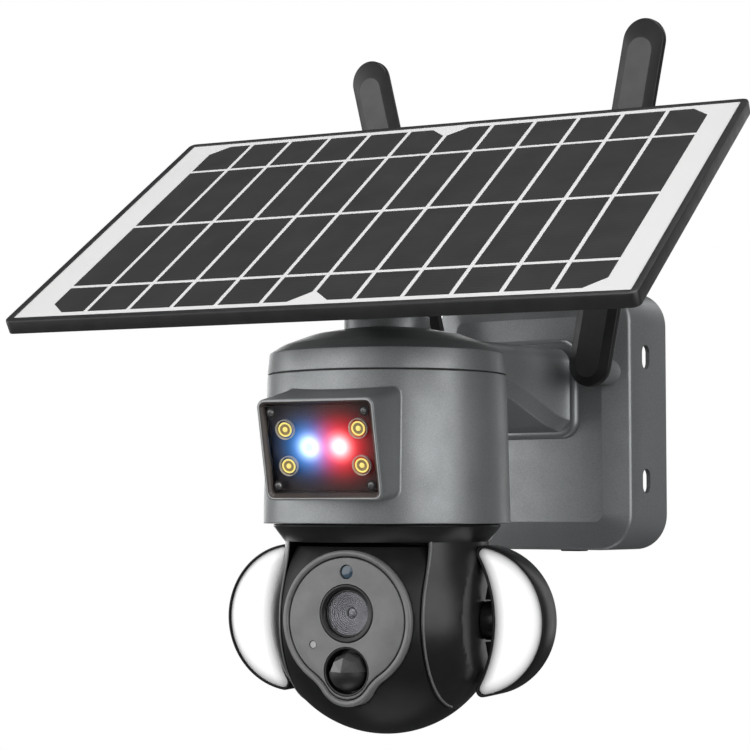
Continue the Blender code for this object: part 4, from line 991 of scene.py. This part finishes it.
def crescent(inwards):
    """Between an outer and a flatter inner arc, with round tips."""
    outer, inner = LIGHT_OUTER_R - inwards, LIGHT_INNER_R + inwards
    tip = max(LIGHT_TIP_R - 0.45 * inwards, 0.8)
    inner_x = LIGHT_INNER_X - LIGHT_INNER_R
    reach_a, reach_b, span = outer - tip, inner + tip, LIGHT_OUTER_X - inner_x
    along = (reach_b ** 2 - reach_a ** 2 + span ** 2) / (2 * span)
    tip_x, tip_y = inner_x + along, sqrt(reach_b ** 2 - along ** 2)
    to_outer = degrees(atan2(tip_y, tip_x - LIGHT_OUTER_X))
    to_inner = degrees(atan2(tip_y, tip_x - inner_x))
    return (arc((LIGHT_OUTER_X, 0), outer, -to_outer, to_outer, 56)
            + arc((tip_x, tip_y), tip, to_outer, to_inner + 180, 12)[1:]
            + arc((inner_x, 0), inner, to_inner, -to_inner, 32)[1:]
            + arc((tip_x, -tip_y), tip, 180 - to_inner, 360 - to_outer, 12)[1:-1])


def build_floodlight(side, sign):
    at = BALL @ shift(0, 0, LIGHT_Z) @ FACING

    def rings(section):
        return [[(sign * x, y, z) for x, y in crescent(across)] for across, z in section]

    shell = skin("floodlight_housing_" + side, rings(HOUSING), at, BALL_BLACK, sharp=45)
    mount(shell, "turntable", "gloss_black", "floodlight_shell_" + side)
    bulge = [(LENS_EDGE, LENS_BASE - 2.8), (LENS_EDGE, LENS_BASE)]
    bulge += [(LENS_EDGE + LENS_ACROSS * k / 10, LENS_BASE + LENS_RISE * (1 - (1 - k / 10) ** 2))
              for k in range(1, 11)]
    lens = skin("floodlight_lens_" + side, rings(bulge), at, DIFFUSER, sharp=60)
    mount(lens, "turntable", "white_diffuser", "floodlight_diffuser_" + side)
    low, high = sorted((sign * (YOKE_FLAT_X + 0.2), sign * KNUCKLE_OUT))
    knuckle = fillet([(0, high), (KNUCKLE_R, high), (KNUCKLE_R, low), (0, low)], [0, 1, 1, 0], 4)
    place = BALL @ shift(0, KNUCKLE_BACK, LIGHT_Z) @ SIDE_ON
    mount(lathe("floodlight_hinge_" + side, knuckle, place, BLACK, 64), "turntable", "gloss_black")
    for level, up in (("high", 1), ("low", -1)):
        outline = [(sign * x, up * y) for x, y in LIGHT_RIB][::sign * up]
        rib = slab("floodlight_rib_%s_%s" % (side, level), outline, -4, 2.4, at, BLACK, 0.4)
        mount(rib, "turntable", "gloss_black")


# Solar panel

PANEL_HALF_W, PANEL_HALF_D, PANEL_TOP, PANEL_UNDER = 160.4, 106.2, 22, 15
PANEL_SHIFT, PANEL_LIP = 6.9, 4
POCKET_TOP = PANEL_UNDER + 2
SHEET_TOP = PANEL_TOP - 0.5
CELL_PITCH, CELL_GAP, CELL_SHIFT = 23.76, 2.2, 1.2
CELL_DEPTH = 98.2  # half the strips' length, end margins left over
CELL_CHAMFER = 9.2
BUSBARS = (0.153, 0.487, 0.82)  # shares of the sheet's depth
BUSBAR_W = 2.5
RIB_HALF_T, RIBS_Y, RIBS_X = 0.9, (-78, -39, 38, 78), (-104, -52, 52, 104)


def build_panel():
    at = PANEL @ shift(0, PANEL_SHIFT, 0)
    outline = rounded_rect(PANEL_HALF_W, PANEL_HALF_D, 4, 8)
    section = [(0, PANEL_UNDER), (0, PANEL_TOP - 1), (0.3, PANEL_TOP - 0.3), (1, PANEL_TOP),
               (PANEL_LIP - 0.5, PANEL_TOP), (PANEL_LIP, SHEET_TOP), (PANEL_LIP, PANEL_TOP - 3),
               (PANEL_LIP - 0.4, POCKET_TOP), (2.6, POCKET_TOP), (2.4, PANEL_UNDER)]
    mount(band("panel_rim", outline, section, at, DARK), "solar_panel", "matte_black", "panel_frame")
    half_w, half_d = PANEL_HALF_W - PANEL_LIP, PANEL_HALF_D - PANEL_LIP
    back = slab("panel_back", rounded_rect(half_w + 0.6, half_d + 0.6, 1, 3), POCKET_TOP + 0.1,
                PANEL_TOP - 2.9, at, DARK)
    mount(back, "solar_panel", "matte_black")
    sheet = slab("panel_sheet", rounded_rect(half_w, half_d, 0.6, 3), PANEL_TOP - 2.8, SHEET_TOP, at, SHEET)
    mount(sheet, "solar_panel", "solar_laminate", "cell_laminate")
    build_cells(at, half_d)
    ribs = [("y%d" % (y + 100), (-half_w, y - RIB_HALF_T), (half_w, y + RIB_HALF_T)) for y in RIBS_Y]
    ribs += [("x%d" % (x + 200), (x - RIB_HALF_T, -half_d), (x + RIB_HALF_T, half_d)) for x in RIBS_X]
    for name, low, high in ribs:
        rib = block("panel_rib_" + name, (*low, PANEL_UNDER + 0.4), (*high, POCKET_TOP + 0.2), at, DARK, 0.3)
        mount(rib, "solar_panel", "matte_black")


def build_cells(at, half_d):
    """Twelve strips in two groups of six, cut into four rows by the busbars."""
    bm = bmesh.new()
    strip_w = CELL_PITCH - CELL_GAP
    cuts = [2 * half_d * share - half_d for share in BUSBARS]
    edges = [-CELL_DEPTH] + cuts + [CELL_DEPTH]
    for column in range(12):
        x = (column - 5.5) * CELL_PITCH + CELL_SHIFT
        for row in range(4):
            low = edges[row] + (BUSBAR_W / 2 if row else 0)
            high = edges[row + 1] - (BUSBAR_W / 2 if row < 3 else 0)
            outline = []
            for sx, sy in ((-1, -1), (1, -1), (1, 1), (-1, 1)):
                # Only the corners of each group of strips are cut
                cut = column % 6 == (0 if sx < 0 else 5) and row == (0 if sy < 0 else 3)
                corner_x, corner_y = x + sx * strip_w / 2, (low if sy < 0 else high)
                pair = [(corner_x, corner_y - sy * cut * CELL_CHAMFER),
                        (corner_x - sx * cut * CELL_CHAMFER, corner_y)]
                outline += (pair if sx == sy else pair[::-1])[:1 + cut]
            prism(bm, [(px, py, SHEET_TOP + 0.06) for px, py in outline],
                  [(px, py, SHEET_TOP - 0.05) for px, py in outline])
    mount(placed("solar_cells", bm, at, CELLS), "solar_panel", "solar_laminate")


# Antennas

BLADE_BACK, BLADE_T, BLADE_SLOPE = 59.1, 7.6, 2
BLADE_FACE_R, BLADE_BAND = 7.1, 4.7  # half width of the flat face, and of the sloping band round it
BLADE_FOOT_Y, BLADE_TIP_Y, BLADE_TIP_BAND = 3.1, 167.1, 5.5


def blade_ring(out, depth):
    """The face's outline grown outwards; the band is wider at the tip than at the sides."""
    radius = BLADE_FACE_R + out
    tip = BLADE_TIP_Y + BLADE_TIP_BAND * out / BLADE_BAND
    outline = arc((0, BLADE_FOOT_Y), radius, 180, 360, 24) + arc((0, tip), radius, 0, 180, 24)
    return [(x, y, BLADE_BACK + depth) for x, y in outline]


def build_antenna(side, sign):
    at = shift(sign * ANTENNA_X, 0, ANTENNA_Z) @ turn(sign * LEANS[side], "Y") @ FACING
    section = fillet([(-2, 0), (0, 0), (BLADE_BAND, BLADE_SLOPE), (BLADE_BAND, BLADE_T - BLADE_SLOPE),
                      (0, BLADE_T), (-2, BLADE_T)], [0, 1.5, 0.8, 0.8, 1.5, 0], 4)
    blade = skin("antenna_blade_" + side, [blade_ring(*place) for place in section], at, BLADE, sharp=60)
    mount(blade, side + "_antenna", "matte_black", "antenna_" + side)
    outline = [(x, y) for x, y, _ in blade_ring(-0.15, 0)]
    front = BLADE_BACK + BLADE_T
    # The lighter inlay is partly painted light on the flat face.
    face = slab("antenna_face_" + side, outline, front - 0.4, front + 0.06, at, BLADE_FACE)
    mount(face, side + "_antenna", "matte_black")


# CAD pieces that keep their shape

CARRIED = (  # a finish, and the CAD nodes that wear it
    (RUBBER, ("port_plug", "tray_seal")),
    (DARK, ("battery_tray", "rear_cover", "hinge_knob", "junction_box")),
    (BLACK, ("swivel_post", "panel_bracket")),
    (BOARD, ("main_board", "sensor_board", "floodlight_board_right", "floodlight_board_left")),
    (SLEEVE, ("battery_cell_1", "battery_cell_2", "battery_cell_3", "battery_cell_4")),
    (STEEL, ("cover_screw_right", "cover_screw_left", "pan_motor", "tilt_motor", "tilt_pin_right",
             "tilt_pin_left", "hinge_bolt", "antenna_bolt_right", "antenna_bolt_left")))


def refinish_cad():
    for finish, nodes in CARRIED:
        for node in nodes:
            materials = frame["nodes"][node].data.materials
            materials.clear()
            materials.append(finish)


build_camera()
build_lights()
build_world()
build_floor()
build_box()
build_collar()
build_arm()
build_cap()
build_neck()
build_head()
build_nose()
build_lamp()
build_yoke()
build_ball()
build_face()
for side_name, side_sign in SIDES:
    build_floodlight(side_name, side_sign)
    build_antenna(side_name, side_sign)
build_panel()
refinish_cad()
